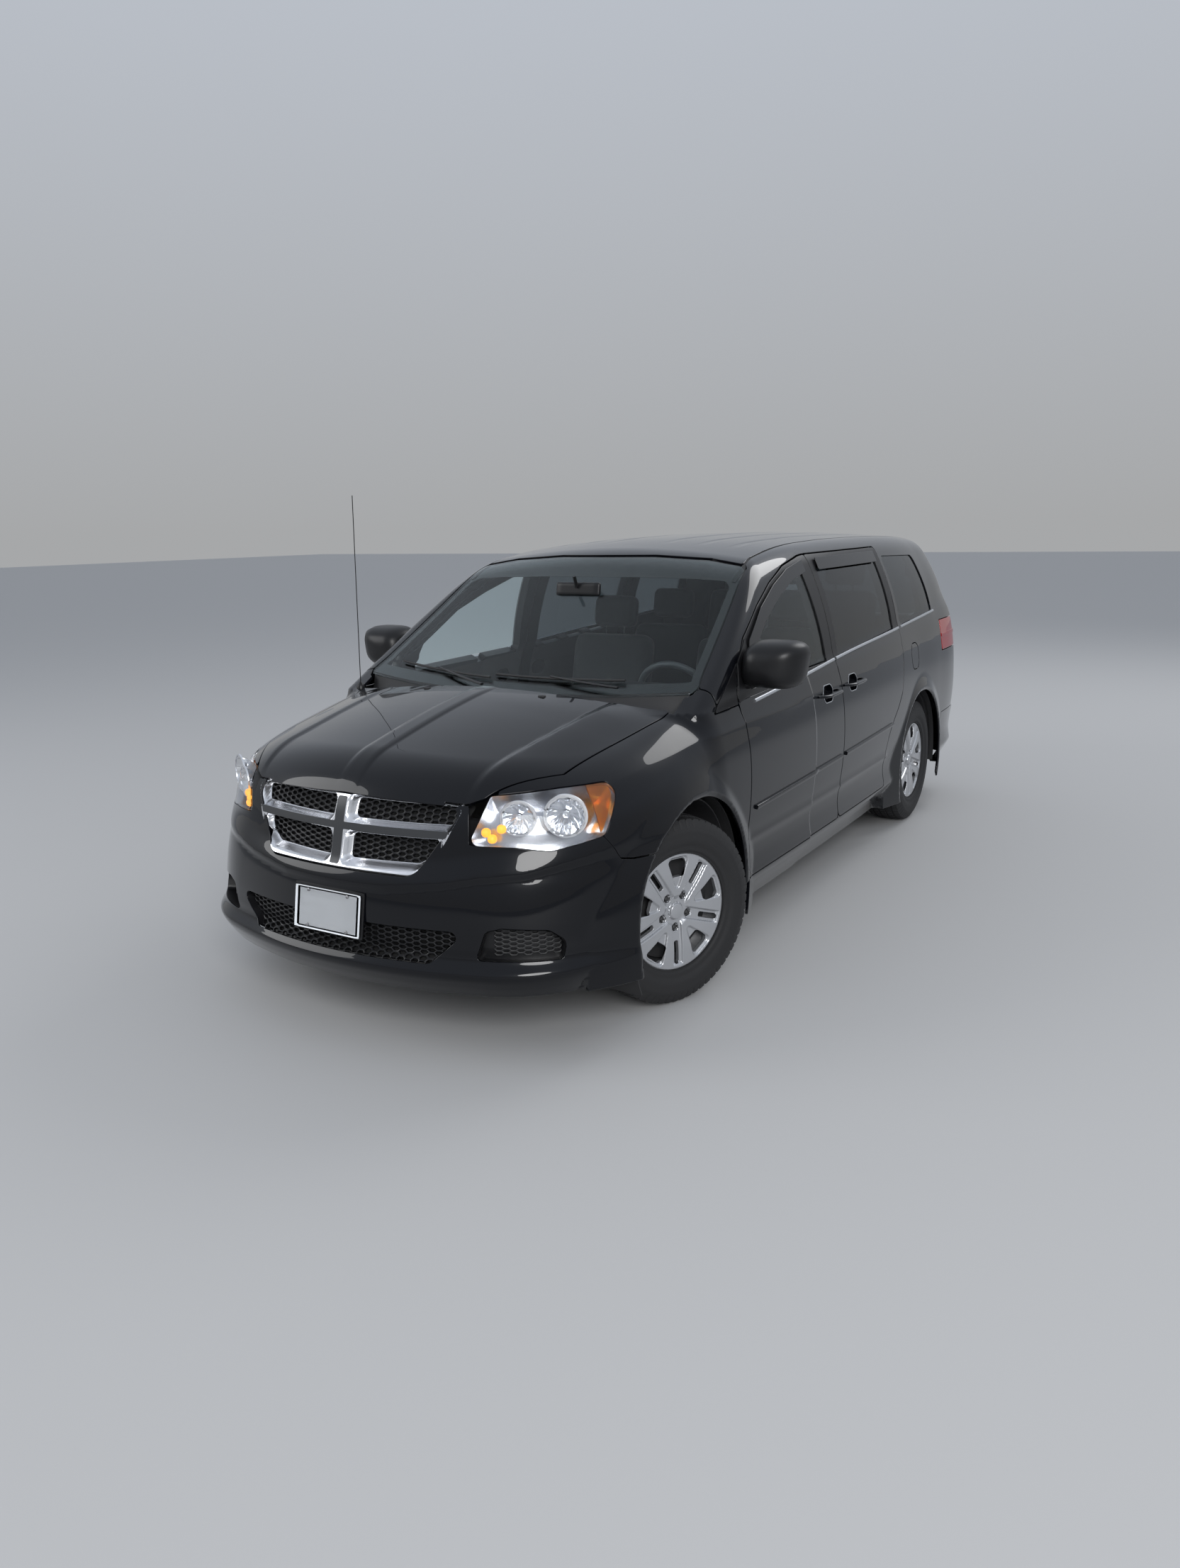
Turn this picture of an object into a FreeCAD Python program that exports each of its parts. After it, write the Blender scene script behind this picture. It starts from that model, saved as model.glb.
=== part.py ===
import FreeCAD, Part
import math
import os

os.makedirs("parts", exist_ok=True)
V = FreeCAD.Vector

# A seven-seat minivan. +Z is up, the front faces -Y and the driver's side is +X.
# The origin is on the ground, under the middle of the whole van. Millimetres.

# Overall sizes
length = 5151.0
height = 1725.0
wheelbase = 3078.0
front_overhang = 965.0
body_half_width = 968.0
flare_half_width = 976.5
ground_gap = 170.0

# Wheels
track_front = 1666.0
track_rear = 1646.0
tyre_radius = 362.0
tyre_width = 225.0
rim_radius = 216.0
rim_width = 178.0
hub_radius = 35.0
running_gap = 0.3

# Steering: the front wheels stand turned to the right by this many degrees
rest_steer = 22.0
steer_axis_x = 775.0

# Panels
seat_gap = 0.4
door_gap = 7.0
panel_gap = 5.0
skin = 8.0
hood_wall = 22.0
bumper_wall = 28.0
door_wall = 60.0
pocket_depth = 66.0
side_wall = 138.0
tailgate_wall = 70.0
glass_wall = 5.0
roof_wall = 25.0
arch_radius = 425.0
flare_width = 50.0
fender_seat = 25.4
front_door_length = 1143.0
slide_door_length = 1092.0
door_setback = 480.0
sill_z = 345.0

# Number plates: size and screw hole spacing
plate_wide = 305.0
plate_high = 152.0
plate_hole_x = 178.0
plate_hole_z = 121.0
plate_hole_radius = 3.5

# Hinges
hinge_inboard = 20.0
hinge_setback = 60.0
hinge_plate = 10.0
hinge_pin = 6.0

nose_y = -length / 2
tail_y = length / 2
front_axle_y = nose_y + front_overhang
rear_axle_y = front_axle_y + wheelbase
door_front_y = front_axle_y + door_setback
b_gap_y = door_front_y + front_door_length
c_gap_y = b_gap_y + slide_door_length


def to_space(plane, u, v, offset):
    # side: u along Y, v up; front: u along X, v up; top: u along X, v along Y
    if plane == "side":
        return V(offset, u, v)
    if plane == "front":
        return V(u, offset, v)
    return V(u, v, offset)


def outline(points, plane, offset):
    # A point with a third value "arc" is the middle of an arc to the next point
    edges = []
    count = len(points)
    index = 0
    while index < count:
        start = to_space(plane, points[index][0], points[index][1], offset)
        nearby = points[(index + 1) % count]
        after = points[(index + 2) % count]
        middle = to_space(plane, nearby[0], nearby[1], offset)
        if len(nearby) > 2:
            end = to_space(plane, after[0], after[1], offset)
            edges.append(Part.Arc(start, middle, end).toShape())
            index += 2
        else:
            edges.append(Part.LineSegment(start, middle).toShape())
            index += 1
    return Part.Wire(edges)


def prism(points, plane, low, high, grow=0.0):
    wire = outline(points, plane, low)
    if grow:
        wire = wire.makeOffset2D(grow, 2)
    reach = to_space(plane, 0.0, 0.0, high - low)
    return Part.Face(wire).extrude(reach)


def box(low_x, high_x, low_y, high_y, low_z, high_z):
    return Part.makeBox(high_x - low_x, high_y - low_y, high_z - low_z, V(low_x, low_y, low_z))


def both_sides(points):
    # The outline's right-hand half follows from its left-hand half, which runs upwards
    mirrored = [(-point[0],) + tuple(point[1:]) for point in reversed(points)]
    return points + mirrored


def mirror(shape):
    return shape.mirror(V(0, 0, 0), V(1, 0, 0))


def rod(start, end, radius):
    along = end.sub(start)
    return Part.makeCylinder(radius, along.Length, start, along)


def save(shape, name):
    solids = shape.Solids
    made = solids[0] if len(solids) == 1 else Part.makeCompound(solids)
    made.exportStep("parts/" + name + ".step")
    print(name, len(solids), round(sum(solid.Volume for solid in solids) / 1e6, 1))


# Cabin cross-sections. Columns: y, half width low, half width at the belt, belt height,
# half width at the glass top, glass top height, roof height
cabin_rows = (
    (front_axle_y - 140, 968.0, 905.0, 1060.0, 780.0, 1440.0, 1520.0),
    (front_axle_y + 960, 968.0, 914.0, 1100.0, 764.0, 1560.0, 1645.0),
    (front_axle_y + 1700, 968.0, 914.0, 1128.0, 758.0, 1612.0, 1718.0),
    (front_axle_y + 2600, 967.0, 908.0, 1176.0, 754.0, 1622.0, height),
    (rear_axle_y + 430, 958.0, 892.0, 1220.0, 738.0, 1610.0, 1705.0),
    (rear_axle_y + 800, 946.0, 874.0, 1230.0, 720.0, 1590.0, 1682.0),
    (rear_axle_y + 1150, 880.0, 800.0, 1233.0, 660.0, 1555.0, 1645.0),
)


def cabin_section(row, inset):
    y, low_x, belt_x, belt_z, rail_x, rail_z, roof_z = row
    low_x += body_half_width - 968.0
    half = [
        (low_x - 98 - inset, ground_gap),
        (low_x - 26 - inset, 310.0),
        (low_x - inset, 640.0, "arc"),
        (low_x - 10 - inset, 930.0),
        (low_x - 20 - inset, 0.45 * 930 + 0.55 * belt_z, "arc"),
        (belt_x - inset, belt_z),
        (0.52 * belt_x + 0.48 * rail_x + 22 - inset, (belt_z + rail_z) / 2, "arc"),
        (rail_x - inset, rail_z - inset * 0.4),
        (rail_x - 38 - inset * 0.8, rail_z + 55 - inset * 0.8, "arc"),
        (rail_x - 110 - inset * 0.5, rail_z + 76 - inset),
        (0.0, roof_z - inset, "arc"),
    ]
    full = half + [(-point[0],) + tuple(point[1:]) for point in reversed(half[:-1])]
    return outline(full, "front", y)


def plan_arc(centre_y, side_x, side_y, reach):
    # y on the arc through the centre and the side point, at x = reach
    depth = side_y - centre_y
    radius = (side_x ** 2 + depth ** 2) / (2 * depth)
    rest = math.sqrt(radius ** 2 - reach ** 2)
    return centre_y + radius - math.copysign(rest, radius)


# Windscreen and tailgate forms. Columns: z, front centre y, front side x, front side y,
# rear centre y, rear side x, rear side y
glass_reach = 1010.0
end_rows = (
    (100.0, front_axle_y + 100, 830.0, front_axle_y + 212, tail_y - 78, 800.0, tail_y - 125),
    (1100.0, front_axle_y + 100, 830.0, front_axle_y + 212, tail_y - 78, 800.0, tail_y - 125),
    (1850.0, front_axle_y + 1344, 640.0, front_axle_y + 1463, tail_y - 300, 640.0, tail_y - 345),
)


def cabin_ends(inset):
    wires = []
    for z, front_y, front_x, front_side, rear_y, rear_x, rear_side in end_rows:
        move = inset * (1.94 if z > 100.0 else 1.0)
        front_edge = plan_arc(front_y, front_x, front_side, glass_reach) + move
        rear_edge = plan_arc(rear_y, rear_x, rear_side, glass_reach) - inset
        wires.append(outline([
            (-glass_reach, front_edge),
            (0.0, front_y + move, "arc"),
            (glass_reach, front_edge),
            (glass_reach, rear_edge),
            (0.0, rear_y - inset, "arc"),
            (-glass_reach, rear_edge),
        ], "top", z))
    return Part.makeLoft(wires, True, True)


forms = {}


def tube(inset):
    # The cabin's sides and roof, without its windscreen and tailgate faces
    key = ("tube", inset)
    if key not in forms:
        forms[key] = Part.makeLoft([cabin_section(row, inset) for row in cabin_rows], True, False)
    return forms[key]


def cabin(inset):
    key = ("cabin", inset)
    if key not in forms:
        forms[key] = tube(inset).common(cabin_ends(inset))
    return forms[key]


# Nose cross-sections. Columns: y, half width, shoulder height, fender top height, hood height
nose_rows = (
    (nose_y - 60, 935.0, 740.0, 795.0, 862.0),
    (nose_y + 180, 948.0, 790.0, 852.0, 932.0),
    (front_axle_y - 430, 962.0, 855.0, 930.0, 1043.0),
    (front_axle_y + 20, 968.0, 930.0, 1058.0, 1130.0),
    (front_axle_y + 520, 968.0, 960.0, 1102.0, 1166.0),
)
# Nose outlines seen from above. Columns: z, centre y, turn x, turn y, corner x, corner y, side y
nose_plans = (
    (100.0, 30.0, 600.0, 115.0, 845.0, 275.0, 650.0),
    (320.0, 0.0, 600.0, 85.0, 850.0, 245.0, 625.0),
    (600.0, 48.0, 560.0, 150.0, 830.0, 335.0, 680.0),
    (880.0, 132.0, 500.0, 232.0, 800.0, 440.0, 770.0),
    (1200.0, 225.0, 470.0, 325.0, 760.0, 530.0, 870.0),
)
nose_back_y = front_axle_y + 500


def nose_section(row, inset):
    y, side_x, shoulder_z, edge_z, hood_z = row
    side_x += body_half_width - 968.0
    half = [
        (side_x - 98 - inset, ground_gap),
        (side_x - 26 - inset, 310.0),
        (side_x - inset, 600.0, "arc"),
        (side_x - 6 - inset, shoulder_z),
        (side_x - 30 - inset * 0.8, shoulder_z * 0.35 + edge_z * 0.65 - inset * 0.6, "arc"),
        (side_x - 100 - inset * 0.4, edge_z - inset),
        (0.0, hood_z - inset, "arc"),
    ]
    full = half + [(-point[0],) + tuple(point[1:]) for point in reversed(half[:-1])]
    return outline(full, "front", y)


def nose(inset):
    key = ("nose", inset)
    if key not in forms:
        sections = Part.makeLoft([nose_section(row, inset) for row in nose_rows], True, False)
        wires = []
        for z, centre, turn_x, turn, corner_x, corner, side in nose_plans:
            half = [
                (1000.0 - inset, nose_back_y),
                (1000.0 - inset, nose_y + side + inset),
                (corner_x - inset * 0.7, nose_y + corner + inset * 0.7, "arc"),
                (turn_x, nose_y + turn + inset),
                (0.0, nose_y + centre + inset, "arc"),
            ]
            mirrored = [(-point[0],) + tuple(point[1:]) for point in reversed(half[:-1])]
            wires.append(outline(half + mirrored, "top", z))
        forms[key] = sections.common(Part.makeLoft(wires, True, True))
    return forms[key]


# Panel outlines seen from the side (y, z)
front_door_outline = [
    (door_front_y, sill_z),
    (door_front_y, 1205.0),
    (door_front_y + 590, 1502.0, "arc"),
    (b_gap_y - door_gap / 2 - 60, 1610.0),
    (b_gap_y - door_gap / 2, 1612.0),
    (b_gap_y - door_gap / 2, sill_z),
]
slide_door_outline = [
    (b_gap_y + door_gap / 2, sill_z),
    (b_gap_y + door_gap / 2, 1613.0),
    (c_gap_y, 1620.0),
    (c_gap_y, 1000.0),
    (c_gap_y - 75, 800.0, "arc"),
    (c_gap_y - 250, 660.0),
    (c_gap_y - 310, 590.0, "arc"),
    (c_gap_y - 320, 500.0),
    (c_gap_y - 320, sill_z),
]
front_glass_outline = [
    (door_front_y + 62, 1122.0),
    (door_front_y + 130, 1235.0),
    (door_front_y + 590, 1462.0, "arc"),
    (b_gap_y - 95, 1572.0),
    (b_gap_y - 75, 1140.0),
]
slide_glass_outline = [
    (b_gap_y + 85, 1158.0),
    (b_gap_y + 85, 1580.0),
    (c_gap_y - 85, 1592.0),
    (c_gap_y - 85, 1188.0),
]
quarter_glass_outline = [
    (c_gap_y + 55, 1200.0),
    (c_gap_y + 55, 1592.0),
    (rear_axle_y + 330, 1580.0),
    (rear_axle_y + 440, 1240.0),
]
aperture_front = [
    (door_front_y + 105, sill_z + 70),
    (door_front_y + 105, 1190.0),
    (door_front_y + 590, 1440.0, "arc"),
    (b_gap_y - 100, 1545.0),
    (b_gap_y - 75, sill_z + 70),
]
aperture_slide = [
    (b_gap_y + 70, sill_z + 70),
    (b_gap_y + 70, 1560.0),
    (c_gap_y - 70, 1570.0),
    (c_gap_y - 70, 1000.0),
    (c_gap_y - 150, 850.0, "arc"),
    (c_gap_y - 330, 700.0),
    (c_gap_y - 390, 600.0),
    (c_gap_y - 390, sill_z + 70),
]
side_outline = [
    (door_front_y - 120, ground_gap + 20),
    (door_front_y - 120, 1030.0),
    (front_axle_y + 190, 1068.0),
    (front_axle_y + 190, 1800.0),
    (tail_y, 1800.0),
    (tail_y, 560.0),
    (rear_axle_y + 300, 560.0),
    (rear_axle_y + 300, ground_gap + 20),
]
side_out = 1200.0


def arch(axle_y, inner_x, outer_x, radius):
    return Part.makeCylinder(radius, outer_x - inner_x, V(inner_x, axle_y, tyre_radius), V(1, 0, 0))


def flare(axle_y, inner_x):
    ring = arch(axle_y, inner_x, flare_half_width, arch_radius + flare_width)
    ring = ring.cut(arch(axle_y, 800.0, side_out, arch_radius))
    cone = Part.makeCone(arch_radius + flare_width, arch_radius + 20, 30.0,
                         V(flare_half_width - 22, axle_y, tyre_radius), V(1, 0, 0))
    inner = arch(axle_y, 840.0, flare_half_width - 22, arch_radius + flare_width)
    return ring.common(inner.fuse(cone))


# Underbody: floor, bulkhead, wheel houses, front rails and the radiator support
floor_half = 800.0
bulkhead_y = front_axle_y + 330
liner_inner_x = 488.0
rear_liner_x = 640.0
liner_gap = 12.0
bay_wall = 6.0


def wheel_house(axle_y, inner_x, radius):
    outer = arch(axle_y, inner_x - bay_wall, 900.0, radius + bay_wall)
    inner = arch(axle_y, inner_x, 910.0, radius)
    lower = box(inner_x - 50, 1000.0, axle_y - 600, axle_y + 600, -200.0, tyre_radius - 20)
    shaft_way = box(inner_x - 50, inner_x + 5, axle_y - 120, axle_y + 120, 0.0, tyre_radius + 60)
    return outer.cut(inner).cut(lower).cut(shaft_way)


floor = box(-floor_half, floor_half, bulkhead_y, rear_axle_y + 900, ground_gap + 30, ground_gap + 62)
bulkhead = box(-floor_half, floor_half, bulkhead_y, bulkhead_y + 20, ground_gap + 62, 1020.0)
rear_raise = box(-floor_half, floor_half, rear_axle_y - 420, rear_axle_y + 900, 540.0, 565.0)
rear_step = box(-floor_half, floor_half, rear_axle_y - 440, rear_axle_y - 420, ground_gap + 62, 565.0)
tail_panel = box(-680.0, 680.0, tail_y - 250, tail_y - 225, 330.0, 565.0)
underbody = floor.cut(box(-900.0, 900.0, rear_axle_y - 420, rear_axle_y + 1000, 0.0, 400.0))
for piece in (bulkhead, rear_raise, rear_step):
    underbody = underbody.fuse(piece)
for side in (1, -1):
    rail_low, rail_high = sorted((side * 430.0, side * 480.0))
    underbody = underbody.fuse(box(rail_low, rail_high, nose_y + 330, bulkhead_y, 430.0, 560.0))
    house = wheel_house(front_axle_y, liner_inner_x, arch_radius - liner_gap)
    rear_house = wheel_house(rear_axle_y, rear_liner_x, arch_radius - liner_gap)
    well = arch(rear_axle_y, rear_liner_x - bay_wall, 960.0, arch_radius - liner_gap + bay_wall)
    underbody = underbody.cut(well if side > 0 else mirror(well))
    underbody = underbody.cut(arch(front_axle_y, liner_inner_x - bay_wall, 960.0, arch_radius)
                              if side > 0 else
                              mirror(arch(front_axle_y, liner_inner_x - bay_wall, 960.0, arch_radius)))
    for made in (house, rear_house):
        underbody = underbody.fuse(made if side > 0 else mirror(made))
    beam_low, beam_high = sorted((side * 560.0, side * 610.0))
    underbody = underbody.fuse(box(beam_low, beam_high, rear_axle_y + 300, tail_y - 250, 400.0, 541.0))
support = box(-490.0, 490.0, nose_y + 300, nose_y + 330, 330.0, 800.0)
support = support.cut(box(-400.0, 400.0, nose_y + 290, nose_y + 340, 400.0, 740.0))
underbody = underbody.fuse(support)
underbody = underbody.fuse(tail_panel.fuse(box(-680.0, 680.0, tail_y - 260, tail_y - 225, 540.0, 565.0)))
crash_boxes = box(430.0, 480.0, nose_y, nose_y + 305, 465.0, 530.0)
crash_boxes = crash_boxes.fuse(mirror(crash_boxes)).common(nose(bumper_wall + seat_gap))
underbody = underbody.fuse(crash_boxes)
save(underbody.removeSplitter(), "underbody")

# Hood and headlamp outlines, which the panels round them share
hood_rear_x = 775.0
hood_front_x = 700.0
hood_rear_y = front_axle_y + 62.0
hood_corner_y = front_axle_y + 148.0
hood_low_z = 890.0
fold_front_x = 500.0
fold_rear_x = 570.0
fold_rise = 4.0
spine_half = 42.0
spine_rise = 6.0
lamp_outline = [
    (505.0, 745.0), (505.0, 880.0), (690.0, 903.0), (900.0, 925.0),
    (990.0, 930.0), (990.0, 780.0), (900.0, 768.0), (720.0, 712.0),
]
lamp_side = [
    (nose_y - 50, 600.0), (nose_y - 50, 1000.0), (front_axle_y - 440, 1000.0),
    (front_axle_y - 450, 930.0), (front_axle_y - 570, 765.0), (front_axle_y - 600, 600.0),
]


def hood_zone(low_z, grow):
    points = both_sides([
        (hood_front_x + grow, nose_y - 20),
        (hood_front_x + grow, front_axle_y - 500),
        (hood_rear_x + grow, hood_corner_y + grow),
    ])
    points.insert(3, (0.0, hood_rear_y + grow, "arc"))
    return prism(points, "top", low_z, 1300.0)


def lamp_zone(grow):
    front = prism(lamp_outline, "front", nose_y - 60, front_axle_y - 300, grow)
    return front.common(prism(lamp_side, "side", 300.0, side_out, grow))


# Body sides: pillars, roof rails, sills and rear quarters, with pockets for the doors
hinge_x = 965.0 - hinge_inboard + body_half_width - 968.0
hinge_y = door_front_y + hinge_setback
hinge_levels = (470.0, 850.0)
windscreen_outline = both_sides([(800.0, 1092.0), (795.0, 1120.0), (744.0, 1560.0), (680.0, 1612.0)])
windscreen_outline.insert(4, (0.0, 1632.0, "arc"))
tailgate_outline = both_sides([(700.0, 590.0), (745.0, 640.0), (745.0, 1180.0), (640.0, 1606.0)])
back_glass_outline = both_sides([(660.0, 1150.0), (665.0, 1190.0), (580.0, 1570.0)])
roof_edge_x = 636.0

hollow = tube(side_wall).common(box(-side_out, side_out, nose_y, tail_y - 225, 0.0, 2000.0))
side_shell = cabin(0.0).cut(hollow)
side_left = side_shell.common(prism(side_outline, "side", roof_edge_x + seat_gap, side_out))
pocket = tube(-20.0).cut(tube(pocket_depth))
doors_zone = prism(front_door_outline, "side", 300.0, side_out, door_gap)
slide_zone = prism(slide_door_outline, "side", 300.0, side_out, door_gap)
fender_zone = box(300.0, side_out, door_front_y - 400, door_front_y + 1, 100.0, 1060.0)
side_left = side_left.cut(pocket.common(doors_zone.fuse(slide_zone)))
side_left = side_left.cut(tube(-20.0).cut(tube(30.0)).common(fender_zone))
side_left = side_left.cut(arch(front_axle_y, 300.0, side_out, arch_radius))
tail_lamp_zone = box(752.0, 1000.0, tail_y - 290, tail_y, 940.0, 1195.0)
tail_lamp_form = cabin(-3.0).cut(cabin(45.0))
side_left = side_left.cut(cabin(-3.0).cut(cabin(45.0 + seat_gap)).common(
    box(752.0 - seat_gap, 1000.0, tail_y - 290 - seat_gap, tail_y, 940.0 - seat_gap, 1195.0 + seat_gap)))
swing_room = box(hinge_x - 90.0, side_out, door_front_y - 14, hinge_y + 40, sill_z - door_gap, 1180.0)
swing_room = swing_room.fuse(box(hinge_x - 150.0, hinge_x - 69.0, door_front_y - 14, hinge_y + 60, 1030.0,
                                 1226.0))
side_left = side_left.cut(swing_room)
side_left = side_left.cut(prism(aperture_front, "side", 300.0, side_out))
side_left = side_left.cut(prism(aperture_slide, "side", 300.0, side_out))
side_left = side_left.cut(prism(quarter_glass_outline, "side", 300.0, side_out))
side_left = side_left.cut(arch(rear_axle_y, 300.0, side_out, arch_radius))
side_left = side_left.cut(prism(windscreen_outline, "front", nose_y, front_axle_y + 1400))
side_left = side_left.cut(prism(tailgate_outline, "front", tail_y - 400, tail_y + 10, panel_gap))
side_left = side_left.cut(box(-200.0, 748.0, rear_axle_y + 700, tail_y, 100.0, 1640.0))
side_left = side_left.cut(box(0.0, floor_half + seat_gap, nose_y, tail_y, 0.0, ground_gap + 62 + seat_gap))
side_left = side_left.cut(box(0.0, floor_half + seat_gap, rear_axle_y - 441, tail_y, 100.0, 566.0))
side_left = side_left.cut(arch(rear_axle_y, 300.0, 901.0, arch_radius - liner_gap + bay_wall + seat_gap))
side_left = side_left.cut(box(0.0, floor_half + seat_gap, bulkhead_y - 10, bulkhead_y + 20 + seat_gap, 0.0,
                              1021.0))
for level in hinge_levels:
    plate = box(hinge_x - 130.0, hinge_x, hinge_y - 12, hinge_y + 12, level - hinge_plate / 2,
                level + hinge_plate / 2)
    plate = plate.fuse(Part.makeCylinder(12.0, hinge_plate, V(hinge_x, hinge_y, level - hinge_plate / 2)))
    side_left = side_left.fuse(plate)
    side_left = side_left.cut(Part.makeCylinder(hinge_pin + running_gap, 60.0,
                                                V(hinge_x, hinge_y, level - 30)))
side_left = side_left.cut(hood_zone(900.0, panel_gap))
rear_flare = flare(rear_axle_y, 850.0)
rear_flare = rear_flare.common(box(0.0, side_out, rear_axle_y - 600, rear_axle_y + 430, 560.0, 2000.0))
side_left = side_left.fuse(rear_flare.cut(slide_zone))

# Fuel door on the left quarter, hinged at its front edge
fuel_y = rear_axle_y - 130.0
fuel_z = 995.0
fuel_half = 75.0
fuel_wall = 6.0
fuel_hinge_in = 7.0
fuel_hinge_back = 10.0
fuel_gap = 7.0
fuel_x = 956.0
fuel_zone = box(700.0, side_out, fuel_y - fuel_half, fuel_y + fuel_half, fuel_z - fuel_half,
                fuel_z + fuel_half)
fuel_room = box(fuel_x - 50, side_out, fuel_y - fuel_half - fuel_gap, fuel_y + fuel_half + fuel_gap,
                fuel_z - fuel_half - fuel_gap, fuel_z + fuel_half + fuel_gap)
fuel_hinge_y = fuel_y - fuel_half + fuel_hinge_back
fuel_hinge_x = fuel_x - fuel_hinge_in
fuel_door = tube(0.0).cut(tube(fuel_wall)).common(fuel_zone)
ear = box(fuel_hinge_x - 7, fuel_x - 3, fuel_hinge_y - 7, fuel_hinge_y + 7, fuel_z - 20,
          fuel_z + 20).common(tube(3.0))
fuel_door = fuel_door.fuse(ear)
fuel_door = fuel_door.cut(box(fuel_hinge_x - 20, fuel_hinge_x + 4, fuel_hinge_y - 12, fuel_hinge_y + 8,
                              fuel_z - 60, fuel_z - 20))
fuel_door = fuel_door.cut(box(fuel_hinge_x - 20, fuel_hinge_x + 4, fuel_hinge_y - 12, fuel_hinge_y + 8,
                              fuel_z + 20, fuel_z + 60))
fuel_door = fuel_door.cut(Part.makeCylinder(3.0 + running_gap, 60.0,
                                            V(fuel_hinge_x, fuel_hinge_y, fuel_z - 30)))
fuel_pin = Part.makeCylinder(3.0, 60.0, V(fuel_hinge_x, fuel_hinge_y, fuel_z - 30))
for arm_z in (fuel_z - 30, fuel_z + 24):
    fuel_pin = fuel_pin.fuse(box(fuel_x - 60, fuel_hinge_x + 3, fuel_hinge_y - 3, fuel_hinge_y + 3, arm_z,
                                 arm_z + 6))
filler = Part.makeCylinder(28.0, 24.0, V(fuel_x - 51, fuel_y + 10, fuel_z), V(1, 0, 0))
side_right = mirror(side_left)
side_left = side_left.cut(fuel_room).fuse(fuel_pin).fuse(filler)
save(fuel_door, "fuel_door")
save(side_left, "body_side_left")
save(side_right, "body_side_right")

# Roof panel between the ditches, with the straps that carry the tailgate
tailgate_hinge_x = 450.0
tailgate_hinge_y = tail_y - 266.0
tailgate_hinge_z = 1588.0
roof_outline = [
    (-roof_edge_x, front_axle_y + 900),
    (roof_edge_x, front_axle_y + 900),
    (roof_edge_x, tail_y - 225),
    (0.0, tail_y - 205, "arc"),
    (-roof_edge_x, tail_y - 225),
]
roof = cabin(0.0).cut(tube(roof_wall)).common(prism(roof_outline, "top", 1500.0, 1900.0))
roof = roof.cut(prism(windscreen_outline, "front", nose_y, front_axle_y + 1400, seat_gap))
roof = roof.cut(box(-700.0, 700.0, tail_y - 700, tail_y, 1400.0, 1640.0))
for side in (1, -1):
    low, high = sorted((side * (tailgate_hinge_x - 4), side * (tailgate_hinge_x + 8)))
    strap = box(low, high, tailgate_hinge_y - 50, tailgate_hinge_y + 12, tailgate_hinge_z - 12,
                tailgate_hinge_z + 12)
    strap = strap.fuse(box(low, high, tailgate_hinge_y - 50, tailgate_hinge_y - 26, tailgate_hinge_z, 1700.0))
    strap = strap.common(tube(roof_wall / 2))
    strap = strap.cut(rod(V(low - 5, tailgate_hinge_y, tailgate_hinge_z),
                          V(high + 5, tailgate_hinge_y, tailgate_hinge_z), hinge_pin + running_gap))
    roof = roof.fuse(strap)
save(roof, "roof_panel")

# Windscreen
windscreen = cabin(1.0).cut(cabin(1.0 + glass_wall)).common(
    prism(windscreen_outline, "front", nose_y, front_axle_y + 1400, -seat_gap))
save(windscreen, "windscreen")

# Fixed and sliding glass of the sides
glass_shell = tube(10.0).cut(tube(10.0 + glass_wall))
quarter_glass = glass_shell.common(prism(quarter_glass_outline, "side", 300.0, side_out, -seat_gap))
slide_glass = glass_shell.common(prism(slide_glass_outline, "side", 300.0, side_out, -seat_gap))
save(Part.makeCompound([quarter_glass, slide_glass, mirror(quarter_glass), mirror(slide_glass)]),
     "rear_side_glass")
front_glass = glass_shell.common(prism(front_glass_outline, "side", 300.0, side_out, -seat_gap))
save(front_glass, "door_glass_left")
save(mirror(front_glass), "door_glass_right")

# Doors
door_shell = tube(0.0).cut(tube(door_wall))
handle_z = 990.0


def with_handle(door, front_y, rear_y):
    # A shallow recess with the pull bar across it
    recess = box(922.0, 1000.0, front_y + 25, rear_y - 25, handle_z - 38, handle_z + 38)
    bar = box(938.0, 980.0, front_y, rear_y, handle_z - 14, handle_z + 14)
    bar = bar.cut(box(930.0, 962.0, front_y + 25, rear_y - 25, handle_z - 20, handle_z + 20))
    return door.cut(recess).fuse(bar)


def with_strip(door, front_y, rear_y):
    return door.fuse(box(940.0, body_half_width + 8, front_y, rear_y, 640.0, 672.0))


front_door = door_shell.common(prism(front_door_outline, "side", 300.0, side_out))
front_door = front_door.cut(prism(front_glass_outline, "side", 300.0, side_out))
front_door = with_handle(front_door, b_gap_y - 270, b_gap_y - 90)
for level in hinge_levels:
    slot_half = hinge_plate / 2 + 5.0
    slot = box(hinge_x - 200, hinge_x + 13, door_front_y - 5, hinge_y + 17, level - slot_half,
               level + slot_half)
    front_door = front_door.cut(slot)
    front_door = front_door.fuse(Part.makeCylinder(hinge_pin, 2 * slot_half + 2,
                                                   V(hinge_x, hinge_y, level - slot_half - 1)))
front_door = with_strip(front_door, door_front_y + 20, b_gap_y - 20)
save(front_door, "front_door_left")
save(mirror(front_door), "front_door_right")

slide_door = door_shell.common(prism(slide_door_outline, "side", 300.0, side_out))
slide_door = slide_door.cut(prism(slide_glass_outline, "side", 300.0, side_out))
slide_door = with_handle(slide_door, b_gap_y + 75, b_gap_y + 255)
slide_door = with_strip(slide_door, b_gap_y + 20, c_gap_y - 330)
# The door is carried on rollers at its pocket: short pads reach the sill
for pad_y in (b_gap_y + 200, c_gap_y - 420):
    slide_door = slide_door.fuse(box(892.0, 922.0, pad_y, pad_y + 60, sill_z - door_gap + seat_gap,
                                     sill_z + 5))
save(slide_door, "sliding_door_left")
save(mirror(slide_door), "sliding_door_right")

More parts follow.
